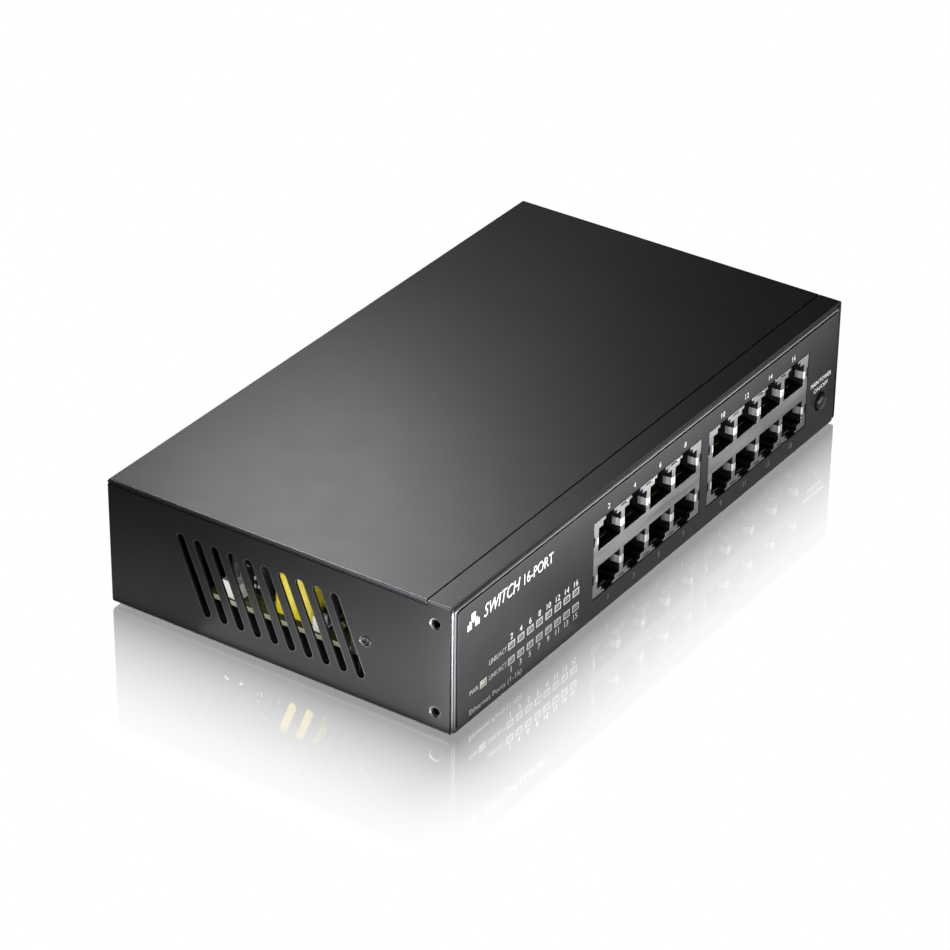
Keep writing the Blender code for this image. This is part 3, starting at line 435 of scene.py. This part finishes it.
def refined(name, edge, material):
    """The CAD node's own shape with its sharp edges rounded, standing for that node."""
    bm = bmesh.new()
    bm.from_mesh(nodes[name].data)
    bmesh.ops.remove_doubles(bm, verts=bm.verts, dist=WELD)
    mesh = bpy.data.meshes.new(name + "_surface")
    bm.to_mesh(mesh)
    bm.free()
    for layer in ("custom_normal", "sharp_edge", "sharp_face"):
        if layer in mesh.attributes:
            mesh.attributes.remove(mesh.attributes[layer])
    mesh.shade_smooth()
    mesh.materials.clear()
    mesh.materials.append(material)
    made = bpy.data.objects.new(name + "_finished", mesh)
    bpy.context.scene.collection.objects.link(made)
    bevel = made.modifiers.new("rounded_edges", "BEVEL")
    bevel.width = edge
    bevel.segments = 2
    bevel.limit_method = "ANGLE"
    bevel.angle_limit = SHARP_ANGLE
    bevel.use_clamp_overlap = True
    bevel.miter_outer = "MITER_SHARP"
    weights = made.modifiers.new("flat_faces_first", "WEIGHTED_NORMAL")
    weights.keep_sharp = True
    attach(made, nodes[name]["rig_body"])
    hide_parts(name)


# ---------------------------------------------------------------- studio

AZIMUTH, ELEVATION, ROLL = math.radians(-56.19), math.radians(31.07), math.radians(0.72)
DISTANCE = 1.1752
LENS, SENSOR = 146.4, 36.0
AIM_BACK, AIM_LEFT, AIM_UP = 0.45 * mm, 4.35 * mm, 9.46 * mm


def camera():
    """The camera at the photograph's angle, a long lens a little over a metre away."""
    back = Vector((math.sin(AZIMUTH), -math.cos(AZIMUTH), 0)) * math.cos(ELEVATION)
    back.z = math.sin(ELEVATION)
    right = Vector((math.cos(AZIMUTH), math.sin(AZIMUTH), 0))
    up = back.cross(right)
    across = right * math.cos(ROLL) + up * math.sin(ROLL)
    above = up * math.cos(ROLL) - right * math.sin(ROLL)
    target = Vector((0, -AIM_BACK, case_low.z)) - across * AIM_LEFT + above * AIM_UP
    data = bpy.data.cameras.new("camera")
    data.lens = LENS
    data.sensor_width = SENSOR
    made = bpy.data.objects.new("camera", data)
    turn = Matrix((across, above, back)).transposed().to_4x4()
    made.matrix_world = Matrix.Translation(target + back * DISTANCE) @ turn
    bpy.context.scene.collection.objects.link(made)
    bpy.context.scene.camera = made


def softbox(name, place, aim, size, power, mirrored=True):
    """A rectangular lamp that looks at a point. The camera doesn't see it, and gloss only if mirrored."""
    data = bpy.data.lights.new(name, "AREA")
    data.shape = "RECTANGLE"
    data.size, data.size_y = size
    data.energy = power
    made = bpy.data.objects.new(name, data)
    made.location = place
    made.rotation_euler = (Vector(aim) - Vector(place)).to_track_quat("-Z", "Y").to_euler()
    made.visible_camera = False
    made.visible_glossy = mirrored
    bpy.context.scene.collection.objects.link(made)


def daylight():
    """A dark room for the object, which the camera and the floor's mirror see as a white background."""
    world = bpy.data.worlds.new("studio")
    world.use_nodes = True
    tree = world.node_tree
    path = node(tree, "LightPath").outputs
    seen = maths(tree, "MAXIMUM", path["Is Camera Ray"], path["Is Singular Ray"])
    tree.links.new(mix(tree, seen, BLACK, WHITE), tree.nodes["Background"].inputs["Color"])
    bpy.context.scene.world = world


FLOOR_REACH = 3.0
FLOOR_GLOW = 0.04
MIRROR_REACH, MIRROR_FALL, MIRROR_SHARE = 42 * mm, 2.2, 0.68
MIRROR_ALONG = (0.7, 1, 0)


def floor():
    """A white floor, mostly the backdrop's own light, polished close to the object: its mirror fades with
    distance from the outline, and less fast to the left and right."""
    mesh = bpy.data.meshes.new("floor")
    corners = [(x * FLOOR_REACH, y * FLOOR_REACH, 0) for x, y in ((-1, -1), (1, -1), (1, 1), (-1, 1))]
    mesh.from_pydata(corners, [], [(0, 1, 2, 3)])
    made = bpy.data.objects.new("floor", mesh)
    bpy.context.scene.collection.objects.link(made)
    material = bpy.data.materials.new("white_floor")
    material.use_nodes = True
    tree = material.node_tree
    tree.nodes.remove(tree.nodes["Principled BSDF"])
    across = vector_maths(tree, "ABSOLUTE", node(tree, "NewGeometry").outputs["Position"])
    outside = vector_maths(tree, "SUBTRACT", across, (cad_high.x, -cad_low.y, 10.0))
    outside = vector_maths(tree, "MAXIMUM", outside, (0, 0, 0))
    outside = vector_maths(tree, "MULTIPLY", outside, MIRROR_ALONG)
    away = node(tree, "VectorMath", {0: outside}, operation="LENGTH").outputs["Value"]
    near = spread(tree, away, 1.0, 0.0, 0.0, MIRROR_REACH)
    share = maths(tree, "MULTIPLY", maths(tree, "POWER", near, MIRROR_FALL), MIRROR_SHARE)
    glow = node(tree, "Emission", {"Strength": 1.0}).outputs[0]
    backdrop = node(tree, "BsdfTransparent").outputs[0]
    white = node(tree, "MixShader", {0: FLOOR_GLOW, 1: backdrop, 2: glow}).outputs[0]
    mirror = node(tree, "BsdfGlossy", {"Roughness": 0.0, "Color": WHITE}).outputs[0]
    both = node(tree, "MixShader", {0: share, 1: white, 2: mirror}).outputs[0]
    tree.links.new(both, tree.nodes["Material Output"].inputs["Surface"])
    mesh.materials.append(material)


# Name, place, aim, size, power in watts, and whether gloss mirrors the lamp.
SOFTBOXES = [
    ("key_behind", (0.06, 0.12, 0.20), (0.02, 0.036, 0.04), (0.12, 0.12), 0.342),
    ("key_far", (0.20, 0.18, 0.30), (0.0, 0.0, 0.04), (0.16, 0.16), 0.198),
    ("low_left_middle", (-0.125, -0.01, 0.001), (-0.125, -0.01, 1), (0.03, 0.08), 0.0136),
    ("low_left_back", (-0.125, 0.07, 0.001), (-0.125, 0.07, 1), (0.03, 0.08), 0.0042),
    ("low_left_front", (-0.125, -0.09, 0.001), (-0.125, -0.09, 1), (0.03, 0.08), 0.0218),
    ("wide_left", (-0.165, -0.09, 0.001), (-0.165, -0.09, 1), (0.05, 0.08), 0.4838),
    ("low_front", (-0.08, -0.078, 0.001), (-0.08, -0.078, 1), (0.08, 0.03), 0.0037),
    ("wide_front_left", (-0.05, -0.2, 0.001), (-0.05, -0.2, 1), (0.1, 0.1), 1.143),
    ("wide_front", (0.05, -0.2, 0.001), (0.05, -0.2, 1), (0.1, 0.1), 1.193),
    ("wide_front_right", (0.15, -0.2, 0.001), (0.15, -0.2, 1), (0.1, 0.1), 0.731),
    ("edge_left", (-0.07, 0.17, 0.36), (-0.107, 0.0, 0.04), (0.05, 0.2), 0.13),
    ("edge_front", (0.28, -0.30, 0.26), (-0.02, -0.06, 0.04), (0.2, 0.05), 0.025),
    ("inside_low", (-0.1058, 0.001, 0.0145), (0.0, 0.001, 0.0145), (0.06, 0.006), 0.0014, False),
    ("inside_left", (-0.1058, 0.002, 0.024), (0.0, 0.002, 0.024), (0.02, 0.014), 0.001, False),
    ("inside_rear", (-0.1058, 0.0225, 0.018), (0.0, 0.0225, 0.016), (0.008, 0.01), 0.0004, False),
]


def studio():
    """The camera, the floor, the room and the lamps."""
    camera()
    floor()
    daylight()
    for lamp in SOFTBOXES:
        softbox(*lamp)
    view = bpy.context.scene.view_settings
    view.view_transform = "Standard"
    view.look = "None"


# ---------------------------------------------------------------- carried-over nodes

# How wide the rounding of a node's sharp edges is, by its name or by a word in it. A node in neither keeps
# the CAD mesh.
EDGES = {
    "chassis_shell": 0.08 * mm, "front_panel": 0.12 * mm, "rear_panel": 0.12 * mm, "top_cover": 0.12 * mm,
    "front_overlay": 0.06 * mm, "jack_shield_left": 0.08 * mm, "jack_shield_right": 0.08 * mm,
    "jack_housing_left": 0.1 * mm, "jack_housing_right": 0.1 * mm, "power_inlet": 0.3 * mm,
    "power_button_cap": 0.3 * mm, "power_switch_body": 0.2 * mm, "switch_plunger": 0.15 * mm,
    "transformer_core": 0.4 * mm, "transformer_winding": 0.5 * mm, "transformer_bobbin": 0.25 * mm,
    "bulk_capacitor": 0.6 * mm, "output_capacitor": 0.5 * mm, "board_capacitor": 0.5 * mm,
    "x_capacitor": 0.6 * mm, "mains_connector": 0.25 * mm, "dc_connector": 0.25 * mm,
    "switch_chip": 0.15 * mm, "chip_heatsink": 0.2 * mm, "psu_heatsink": 0.2 * mm, "clock_crystal": 0.4 * mm,
    "main_board": 0.1 * mm, "psu_board": 0.1 * mm, "emi_choke": 0.2 * mm, "mains_fuse": 0.2 * mm,
}
EDGES_BY_WORD = {"screw": 0.08 * mm, "foot": 0.25 * mm, "pin": 0.25 * mm, "insert": 0.1 * mm}


OWN_MATERIALS = {"power_light_guide": LIT, "power_button_cap": BUTTON}


def carried_over():
    """Each CAD node gets its slot's material, and the ones with real edges get them rounded."""
    for part in frame["record"]["subparts"]:
        name, slot = part["node"], part["material_slot"]
        material = OWN_MATERIALS.get(name, MATERIALS[slot])
        edge = EDGES.get(name)
        if edge is None:
            edge = next((size for word, size in EDGES_BY_WORD.items() if word in name), None)
        if edge is None:
            nodes[name].data.materials.clear()
            nodes[name].data.materials.append(material)
        else:
            refined(name, edge, material)


# ---------------------------------------------------------------- mesh helpers


def box_into(bm, low, high):
    """Adds a box between two corners."""
    low, high = Vector(low), Vector(high)
    for vertex in bmesh.ops.create_cube(bm, size=1.0)["verts"]:
        vertex.co = Vector([low[i] + (vertex.co[i] + 0.5) * (high[i] - low[i]) for i in range(3)])


def join_rings(bm, rings):
    """Adds the faces between closed rings of points, each ring to the next."""
    for first, second in zip(rings, rings[1:]):
        for i in range(len(first)):
            after = (i + 1) % len(first)
            bm.faces.new((first[i], first[after], second[after], second[i]))


def ribbon(bm, points, side, wide, thick):
    """Adds a bent strip of metal: its middle line, the direction of its width, its width and thickness."""
    side = Vector(side).normalized() * (wide / 2)
    rings = []
    for i, point in enumerate(points):
        along = points[min(i + 1, len(points) - 1)] - points[max(i - 1, 0)]
        off = along.cross(side).normalized() * (thick / 2)
        corners = (point + side + off, point - side + off, point - side - off, point + side - off)
        rings.append([bm.verts.new(corner) for corner in corners])
    join_rings(bm, rings)
    bm.faces.new(rings[0])
    bm.faces.new(reversed(rings[-1]))


def arc(centre, radius, start, end, steps=5):
    """Points on an arc, as pairs, with its angles in degrees."""
    turns = [math.radians(start + (end - start) * i / steps) for i in range(steps + 1)]
    return [(centre[0] + radius * math.cos(t), centre[1] + radius * math.sin(t)) for t in turns]


def tidy(bm):
    """Turns all faces outwards, and gives the same bmesh back."""
    bmesh.ops.recalc_face_normals(bm, faces=bm.faces)
    return bm


# ---------------------------------------------------------------- printing on the front

# Heights on the front are above the case's underside, and x is from its middle.
INK_DEPTH = 0.02 * mm
LAMP_FIRST, LAMP_PITCH, LAMP_COLUMNS = -78.1 * mm, 4.74 * mm, 8
LAMP_ROWS = (9.65 * mm, 14.8 * mm)
POWER_LAMP = (-92.2 * mm, 9.65 * mm)
WINDOW, LAMP_FRAME, POWER_FRAME = (2.3 * mm, 1.5 * mm), (3.4 * mm, 2.5 * mm), (3.3 * mm, 2.5 * mm)
EVEN_LAMPS_Z, ODD_LAMPS_Z = 17.8 * mm, 6.6 * mm
EVEN_PORTS_Z, ODD_PORTS_Z, EVEN_PORTS_SHIFT = 35.6 * mm, 4.1 * mm, -1.1 * mm
PRINT_LEFT, LAMP_NAMES_LEFT, TITLE_LEFT, SIZE_LEFT = -98.9 * mm, -89.3 * mm, -92.2 * mm, -72.2 * mm
TITLE_Z = 33.4 * mm


def stamp(bm, words, x, z, height, width=None, bold=0.0, slant=0.0, align="CENTER"):
    """Prints words on the film, centred on z above the case's underside, squeezed to a width if given one."""
    curve = bpy.data.curves.new("print", "FONT")
    curve.body = words
    curve.offset = bold
    curve.shear = slant
    curve.extrude = 0.5
    curve.resolution_u = 3
    holder = bpy.data.objects.new("print", curve)
    bpy.context.scene.collection.objects.link(holder)
    mesh = bpy.data.meshes.new_from_object(holder.evaluated_get(bpy.context.evaluated_depsgraph_get()))
    bpy.data.objects.remove(holder)
    corners = [v.co for v in mesh.vertices]
    low = Vector([min(c[i] for c in corners) for i in range(3)])
    high = Vector([max(c[i] for c in corners) for i in range(3)])
    tall = height / (high.y - low.y)
    wide = tall if width is None else width / (high.x - low.x)
    shift = {"CENTER": (low.x + high.x) / 2, "LEFT": low.x, "RIGHT": high.x}[align]
    for vertex in mesh.vertices:
        across = (vertex.co.x - shift) * wide
        above = (vertex.co.y - (low.y + high.y) / 2) * tall
        vertex.co = (x + across, film_front - INK_DEPTH * (0.5 - vertex.co.z), case_low.z + z + above)
    bm.from_mesh(mesh)
    bpy.data.meshes.remove(mesh)


def mark(bm, x, z, wide, tall):
    """A printed bar, centred on x and z."""
    base = case_low.z + z
    low = (x - wide / 2, film_front - INK_DEPTH, base - tall / 2)
    box_into(bm, low, (x + wide / 2, film_front, base + tall / 2))


def outline_mark(bm, x, z, outer, inner):
    """A printed frame round a window."""
    side, rail = (outer[0] - inner[0]) / 2, (outer[1] - inner[1]) / 2
    for sign in (-1, 1):
        mark(bm, x + sign * (outer[0] - side) / 2, z, side, outer[1])
        mark(bm, x, z + sign * (outer[1] - rail) / 2, inner[0], rail)


def front_print():
    """Everything that is printed on the front film."""
    frames = bmesh.new()
    for z in LAMP_ROWS:
        for i in range(LAMP_COLUMNS):
            outline_mark(frames, LAMP_FIRST + i * LAMP_PITCH, z, LAMP_FRAME, WINDOW)
    outline_mark(frames, *POWER_LAMP, POWER_FRAME, WINDOW)
    piece("lamp_frames_print", tidy(frames), GREY_INK)

    numbers = bmesh.new()
    for i in range(LAMP_COLUMNS):
        x = LAMP_FIRST + i * LAMP_PITCH
        stamp(numbers, str(2 * i + 2), x, EVEN_LAMPS_Z, 2.0 * mm, bold=0.005)
        stamp(numbers, str(2 * i + 1), x, ODD_LAMPS_Z, 2.0 * mm, bold=0.005)
    piece("lamp_numbers_print", tidy(numbers), INK)

    ports = bmesh.new()
    for name, (low, high) in openings.items():
        if name.startswith("port_"):
            number = int(name.split("_")[1])
            shift, z = (0.0, ODD_PORTS_Z) if number % 2 else (EVEN_PORTS_SHIFT, EVEN_PORTS_Z)
            stamp(ports, str(number), (low.x + high.x) / 2 + shift, z, 1.8 * mm)
    piece("port_numbers_print", tidy(ports), GREY_INK)

    names = bmesh.new()
    for z in LAMP_ROWS:
        stamp(names, "LINK/ACT", LAMP_NAMES_LEFT, z, 1.7 * mm, 8.8 * mm, align="LEFT")
    stamp(names, "PWR", PRINT_LEFT, POWER_LAMP[1], 1.5 * mm, 4.3 * mm, align="LEFT")
    piece("lamp_names_print", tidy(names), GREY_INK)

    labels = bmesh.new()
    stamp(labels, "Ethernet Ports (1-16)", PRINT_LEFT, 3.0 * mm, 2.3 * mm, 26.2 * mm, align="LEFT")
    stamp(labels, "MAIN POWER", 95.5 * mm, 19.6 * mm, 1.6 * mm, 12.6 * mm)
    stamp(labels, "ON/OFF", 95.6 * mm, 17.0 * mm, 1.5 * mm, 8.7 * mm)
    piece("label_print", tidy(labels), INK)

    title = bmesh.new()
    emblem(title, -97.4 * mm, TITLE_Z)
    stamp(title, "SWITCH", TITLE_LEFT, TITLE_Z, 4.2 * mm, 17.9 * mm, slant=0.25, align="LEFT")
    stamp(title, "16-PORT", SIZE_LEFT, 33.3 * mm, 3.6 * mm, 14.8 * mm, align="LEFT")
    piece("title_print", tidy(title), INK)


def emblem(bm, x, z):
    """A plain network sign: one square above two others, joined by lines."""
    square, line, arm, rise = 2.0 * mm, 0.5 * mm, 1.9 * mm, 1.5 * mm
    mark(bm, x, z + rise, square, square)
    mark(bm, x, z, line, rise)
    mark(bm, x, z, 2 * arm + line, line)
    for sign in (-1, 1):
        mark(bm, x + sign * arm, z - rise, square, square)
        mark(bm, x + sign * arm, z - line, line, line * 2)


# ---------------------------------------------------------------- inside the jacks

BANKS = (("left", 1), ("right", 9))
PORTS_A_BANK = 8
PORT_SIDE = 0.5 * mm  # from an opening's stated box to the port's real side wall
PORT_EDGE = 0.3 * mm  # and to its floor or roof
TAB_WIDTH, TAB_THICK = 2.5 * mm, 0.14 * mm
TAB_LIFT_ODD, TAB_LIFT_EVEN = 0.15 * mm, -0.25 * mm
SPRINGS, SPRING_PITCH, SPRING_WIDTH, SPRING_THICK = 8, 1.02 * mm, 0.36 * mm, 0.22 * mm


def grounding_tabs():
    """Spring fingers bent from the shield round each port's side walls. The profile runs inwards from the
    wall, and then backwards from the shield's face."""
    bend = arc((-0.3 * mm, 0.3 * mm), 0.36 * mm, -90, 0)
    rest = [(0.1, 1.2), (0.22, 1.5), (0.24, 2.2), (0.24, 2.9)]
    profile = [(-0.82 * mm, -0.06 * mm), *bend, *[(a * mm, b * mm) for a, b in rest]]
    for bank, first in BANKS:
        bm = bmesh.new()
        for number in range(first, first + PORTS_A_BANK):
            low, high = openings[f"port_{number}"]
            z = (low.z + high.z) / 2 + (TAB_LIFT_ODD if number % 2 else TAB_LIFT_EVEN)
            for wall, sign in ((low.x - PORT_SIDE, 1), (high.x + PORT_SIDE, -1)):
                points = [Vector((wall + sign * a, shield_front + b, z)) for a, b in profile]
                ribbon(bm, points, (0, 0, 1), TAB_WIDTH, TAB_THICK)
        piece(f"grounding_tabs_{bank}", tidy(bm), TAB, smooth=50.0)


def contact_wires():
    """Eight gilded springs in each port, on the side away from the latch. The route runs backwards from the
    shield's face, and away from that side."""
    route = [(3.1, -0.15), (3.2, 0.2), (3.6, 0.45), (4.4, 0.7), (8.2, 1.9), (11.8, 3.0), (13.9, 3.2)]
    for bank, first in BANKS:
        bm = bmesh.new()
        for number in range(first, first + PORTS_A_BANK):
            low, high = openings[f"port_{number}"]
            up = -1 if number % 2 else 1
            ground = high.z + PORT_EDGE if number % 2 else low.z - PORT_EDGE
            middle = (low.x + high.x) / 2
            for i in range(SPRINGS):
                x = middle + (i - (SPRINGS - 1) / 2) * SPRING_PITCH
                points = [Vector((x, shield_front + a * mm, ground + up * b * mm)) for a, b in route]
                ribbon(bm, points, (1, 0, 0), SPRING_WIDTH, SPRING_THICK)
        piece(f"contact_springs_{bank}", tidy(bm), GOLD, smooth=50.0)


# ---------------------------------------------------------------- on the sides

SIDES = (("left", case_low.x, -1), ("right", case_high.x, 1))
EAR_HOLES_Y, EAR_HOLES_Z = -54.75 * mm, (6.1 * mm, 35.1 * mm)
THREAD_START = 0.35 * mm
VENT_COUNT, VENT_PITCH, VENT_WIDTH = 10, 6 * mm, 2.75 * mm
VENT_TOP, VENT_BOTTOM = (33.9 * mm, 31.3 * mm), (25.1 * mm, 9.05 * mm)
VENT_SHIFT = Vector((-0.45 * mm, 1.2 * mm))


def ear_threads():
    """The threads cut in the mounting holes near the front corners."""
    radius, pitch, turns, steps = 1.45 * mm, 0.5 * mm, 4, 20
    for hand, wall, out in SIDES:
        bm = bmesh.new()
        for z in EAR_HOLES_Z:
            centre = Vector((wall - out * THREAD_START, EAR_HOLES_Y, case_low.z + z))
            points = []
            for i in range(turns * steps + 1):
                turn = math.tau * i / steps
                ahead = -out * pitch * i / steps
                points.append(centre + Vector((ahead, radius * math.cos(turn), radius * math.sin(turn))))
            ribbon(bm, points, (1, 0, 0), 0.24 * mm, 0.3 * mm)
        piece(f"ear_threads_{hand}", tidy(bm), MATERIALS["screw_zinc"], smooth=60.0)


def slot_rims():
    """The thin rolled edge that the punch leaves round each vent slot, coloured lighter than the coating:
    partly the rim's own shape catching the light, partly a painted highlight. The section gives how far
    beyond the slot's edge and how far proud of the wall, in millimetres."""
    section = [(0.3, 0.0), (0.26, 0.025), (0.0, 0.012), (-0.01, -0.04)]
    steps = 8
    for hand, wall, out in SIDES:
        bm = bmesh.new()
        for i in range(VENT_COUNT):
            ends = [Vector((y - i * VENT_PITCH, z)) + VENT_SHIFT for y, z in (VENT_TOP, VENT_BOTTOM)]
            along = (ends[0] - ends[1]).normalized()
            lean = math.atan2(along.y, along.x)
            rings = []
            for wider, proud in section:
                radius = VENT_WIDTH / 2 + wider * mm
                ring = []
                for centre, start in ((ends[0], lean - math.pi / 2), (ends[1], lean + math.pi / 2)):
                    for step in range(steps + 1):
                        turn = start + math.pi * step / steps
                        y, z = centre.x + radius * math.cos(turn), centre.y + radius * math.sin(turn)
                        ring.append(bm.verts.new((wall + out * proud * mm, y, z)))
                rings.append(ring)
            join_rings(bm, rings)
        piece(f"slot_rims_{hand}", tidy(bm), RIM_HIGHLIGHT, smooth=25.0)


# ---------------------------------------------------------------- on the boards

LEAD, LEAD_ROOT, LEAD_REACH, DISC_LEAD = 0.45 * mm, 0.3 * mm, 0.9 * mm, 0.5 * mm
RESISTORS = ((-91.2, -13.2), (-91.2, -16.6), (-91.2, -20.0))
DIODES = ((-68.0, -8.0), (-68.0, -12.0), (-64.0, -20.0))
DISCS = ((-54.0, 8.0), (-54.0, 14.0))
MAGNETICS, MAGNETIC_SIZE = (-20.5, 0.0, 50.0, 70.0), (16, 7, 5)
MAGNETIC_PINS, PIN_PITCH, PIN_ROWS, PIN_SIZE = 12, 1.27, (-33.9, -26.0), (0.45, 0.9, 0.5)
CHIP_COLUMNS, CHIP_ROWS = 9, (2.0 * mm, 4.5 * mm)
CHIP_HALF, CHIP_DEEP, CHIP_TALL = 0.8 * mm, 0.9 * mm, 0.7 * mm
CHIP_END, CHIP_END_TALL = 0.3 * mm, 0.72 * mm


def cylinder_into(bm, centre, along, radius, length, sides=14):
    """Adds a closed cylinder about a point, lying along a direction."""
    turn = Vector(along).to_track_quat("Z", "Y").to_matrix().to_4x4()
    place = Matrix.Translation(centre) @ turn
    bmesh.ops.create_cone(
        bm, cap_ends=True, segments=sides, radius1=radius, radius2=radius, depth=length, matrix=place
    )


def axial_part(body, leads, centre, floor, along, radius, length):
    """An axial part standing on its bent leads: its body goes in one mesh and its leads in another."""
    along = Vector(along)
    side = along.cross((0, 0, 1))
    cylinder_into(body, centre, along, radius, length)
    end = centre + along * length * 0.5
    start = centre - along * length * 0.5
    for tip, sign in ((end, 1), (start, -1)):
        root = tip - along * sign * LEAD_ROOT
        knee = tip + along * sign * LEAD_REACH
        foot = Vector((knee.x, knee.y, floor))
        ribbon(leads, [root, tip, knee, (knee + foot) / 2, foot], side, LEAD, LEAD)


def supply_details():
    """Resistors, diodes and disc capacitors on the power supply board, with their leads."""
    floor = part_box("psu_board")[1].z
    leads = bmesh.new()
    resistors, diodes, discs = bmesh.new(), bmesh.new(), bmesh.new()
    for x, y in RESISTORS:
        centre = Vector((x * mm, y * mm, floor + 1.5 * mm))
        axial_part(resistors, leads, centre, floor, (1, 0, 0), 1.0 * mm, 4.6 * mm)
    for x, y in DIODES:
        centre = Vector((x * mm, y * mm, floor + 1.8 * mm))
        axial_part(diodes, leads, centre, floor, (1, 0, 0), 1.3 * mm, 5.0 * mm)
    for x, y in DISCS:
        centre = Vector((x * mm, y * mm, floor + 5.2 * mm))
        cylinder_into(discs, centre, (0, 1, 0), 3.4 * mm, 2.2 * mm, 24)
        for shift in (-1.8 * mm, 1.8 * mm):
            points = [Vector((x * mm + shift, y * mm, floor + high)) for high in (2.6 * mm, 1.3 * mm, 0.0)]
            ribbon(leads, points, (1, 0, 0), DISC_LEAD, DISC_LEAD)
    piece("supply_resistors", tidy(resistors), RESISTOR)
    piece("supply_diodes", tidy(diodes), MATERIALS["black_plastic"])
    piece("disc_capacitors", tidy(discs), DISC)
    piece("part_leads", tidy(leads), SOLDER, smooth=60.0)


def board_details():
    """Isolating transformers behind the jacks, and rows of small chip parts round the switch chip."""
    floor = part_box("main_board")[1].z
    magnetics = bmesh.new()
    chips = bmesh.new()
    pads = bmesh.new()
    for x in MAGNETICS:
        low = Vector(((x - 8) * mm, -33.0 * mm, floor + 0.2 * mm))
        box_into(magnetics, low, low + Vector(MAGNETIC_SIZE) * mm)
        for i in range(MAGNETIC_PINS):
            for y in PIN_ROWS:
                corner = Vector(((x - 7.2 + i * PIN_PITCH) * mm, y * mm, floor))
                box_into(pads, corner, corner + Vector(PIN_SIZE) * mm)
    chip_low, chip_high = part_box("chip_heatsink")
    for i in range(CHIP_COLUMNS):
        x = chip_low.x + (i + 0.5) * (chip_high.x - chip_low.x) / CHIP_COLUMNS
        for row in CHIP_ROWS:
            y = chip_high.y + row
            box_into(chips, (x - CHIP_HALF, y, floor), (x + CHIP_HALF, y + CHIP_DEEP, floor + CHIP_TALL))
            for end in (-1.1 * mm, CHIP_HALF):
                high = (x + end + CHIP_END, y + CHIP_DEEP, floor + CHIP_END_TALL)
                box_into(pads, (x + end, y, floor), high)
    piece("jack_magnetics", tidy(magnetics), MATERIALS["black_plastic"])
    piece("chip_capacitors", tidy(chips), RESISTOR)
    piece("soldered_ends", tidy(pads), SOLDER)


def wrapped_patch(bm, centre, radius, angles, low, high, steps=3):
    """Adds a printed patch round an upright can: its two angles in degrees, and its two heights."""
    rows = []
    for i in range(steps + 1):
        turn = math.radians(angles[0] + (angles[1] - angles[0]) * i / steps)
        x, y = centre.x + radius * math.cos(turn), centre.y + radius * math.sin(turn)
        rows.append([bm.verts.new((x, y, low)), bm.verts.new((x, y, high))])
    for first, second in zip(rows, rows[1:]):
        bm.faces.new((first[0], second[0], second[1], first[1]))


# Each can, the angle that its minus signs face, and how many there are.
CANS = (("bulk_capacitor", 163, 7), ("output_capacitor", 175, 4), ("board_capacitor", 250, 3))
CAN_PRINT = 0.08 * mm


def can_marks():
    """The printed minus signs and plain bars down each electrolytic can, and the scored vent in its top."""
    marks, vents = bmesh.new(), bmesh.new()
    for name, facing, count in CANS:
        low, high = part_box(name)
        centre, radius = (low + high) / 2, (high.x - low.x) / 2 + CAN_PRINT
        for i in range(count):
            z = high.z - 2.2 * mm - i * 2.7 * mm
            wrapped_patch(marks, centre, radius, (facing - 7, facing + 7), z - 0.4 * mm, z)
            for start in (20, 29, 38):
                wrapped_patch(marks, centre, radius, (facing + start, facing + start + 5), z - 1.2 * mm, z)
        for third in range(3):
            turn = third * math.tau / 3
            out = Vector((math.cos(turn), math.sin(turn), 0))
            middle = Vector((centre.x, centre.y, high.z)) + out * radius * 0.35
            points = [middle - out * radius * 0.33, middle, middle + out * radius * 0.33]
            ribbon(vents, points, out.cross((0, 0, 1)), 0.3 * mm, 0.06 * mm)
    piece("can_marks", tidy(marks), GREY_INK)
    piece("can_vents", tidy(vents), MATERIALS["black_plastic"])


def underside_label():
    """A plain sticker under the case, with a ruled border and nothing written on it."""
    base, thick = case_low.z, 0.06 * mm
    sticker, rules = bmesh.new(), bmesh.new()
    half = Vector((30 * mm, 17 * mm, 0))
    box_into(sticker, (-half.x, -half.y, base - thick), (half.x, half.y, base))
    line, inset, drop = 0.4 * mm, 2 * mm, base - 1.5 * thick
    for sign in (-1, 1):
        y = sign * (half.y - inset)
        box_into(rules, (inset - half.x, y - line / 2, drop), (half.x - inset, y + line / 2, base - thick))
        x = sign * (half.x - inset)
        box_into(rules, (x - line / 2, inset - half.y, drop), (x + line / 2, half.y - inset, base - thick))
    piece("underside_label", tidy(sticker), LABEL)
    piece("underside_label_rules", tidy(rules), BUTTON)


studio()
carried_over()
front_print()
grounding_tabs()
contact_wires()
ear_threads()
supply_details()
board_details()
can_marks()
underside_label()
slot_rims()
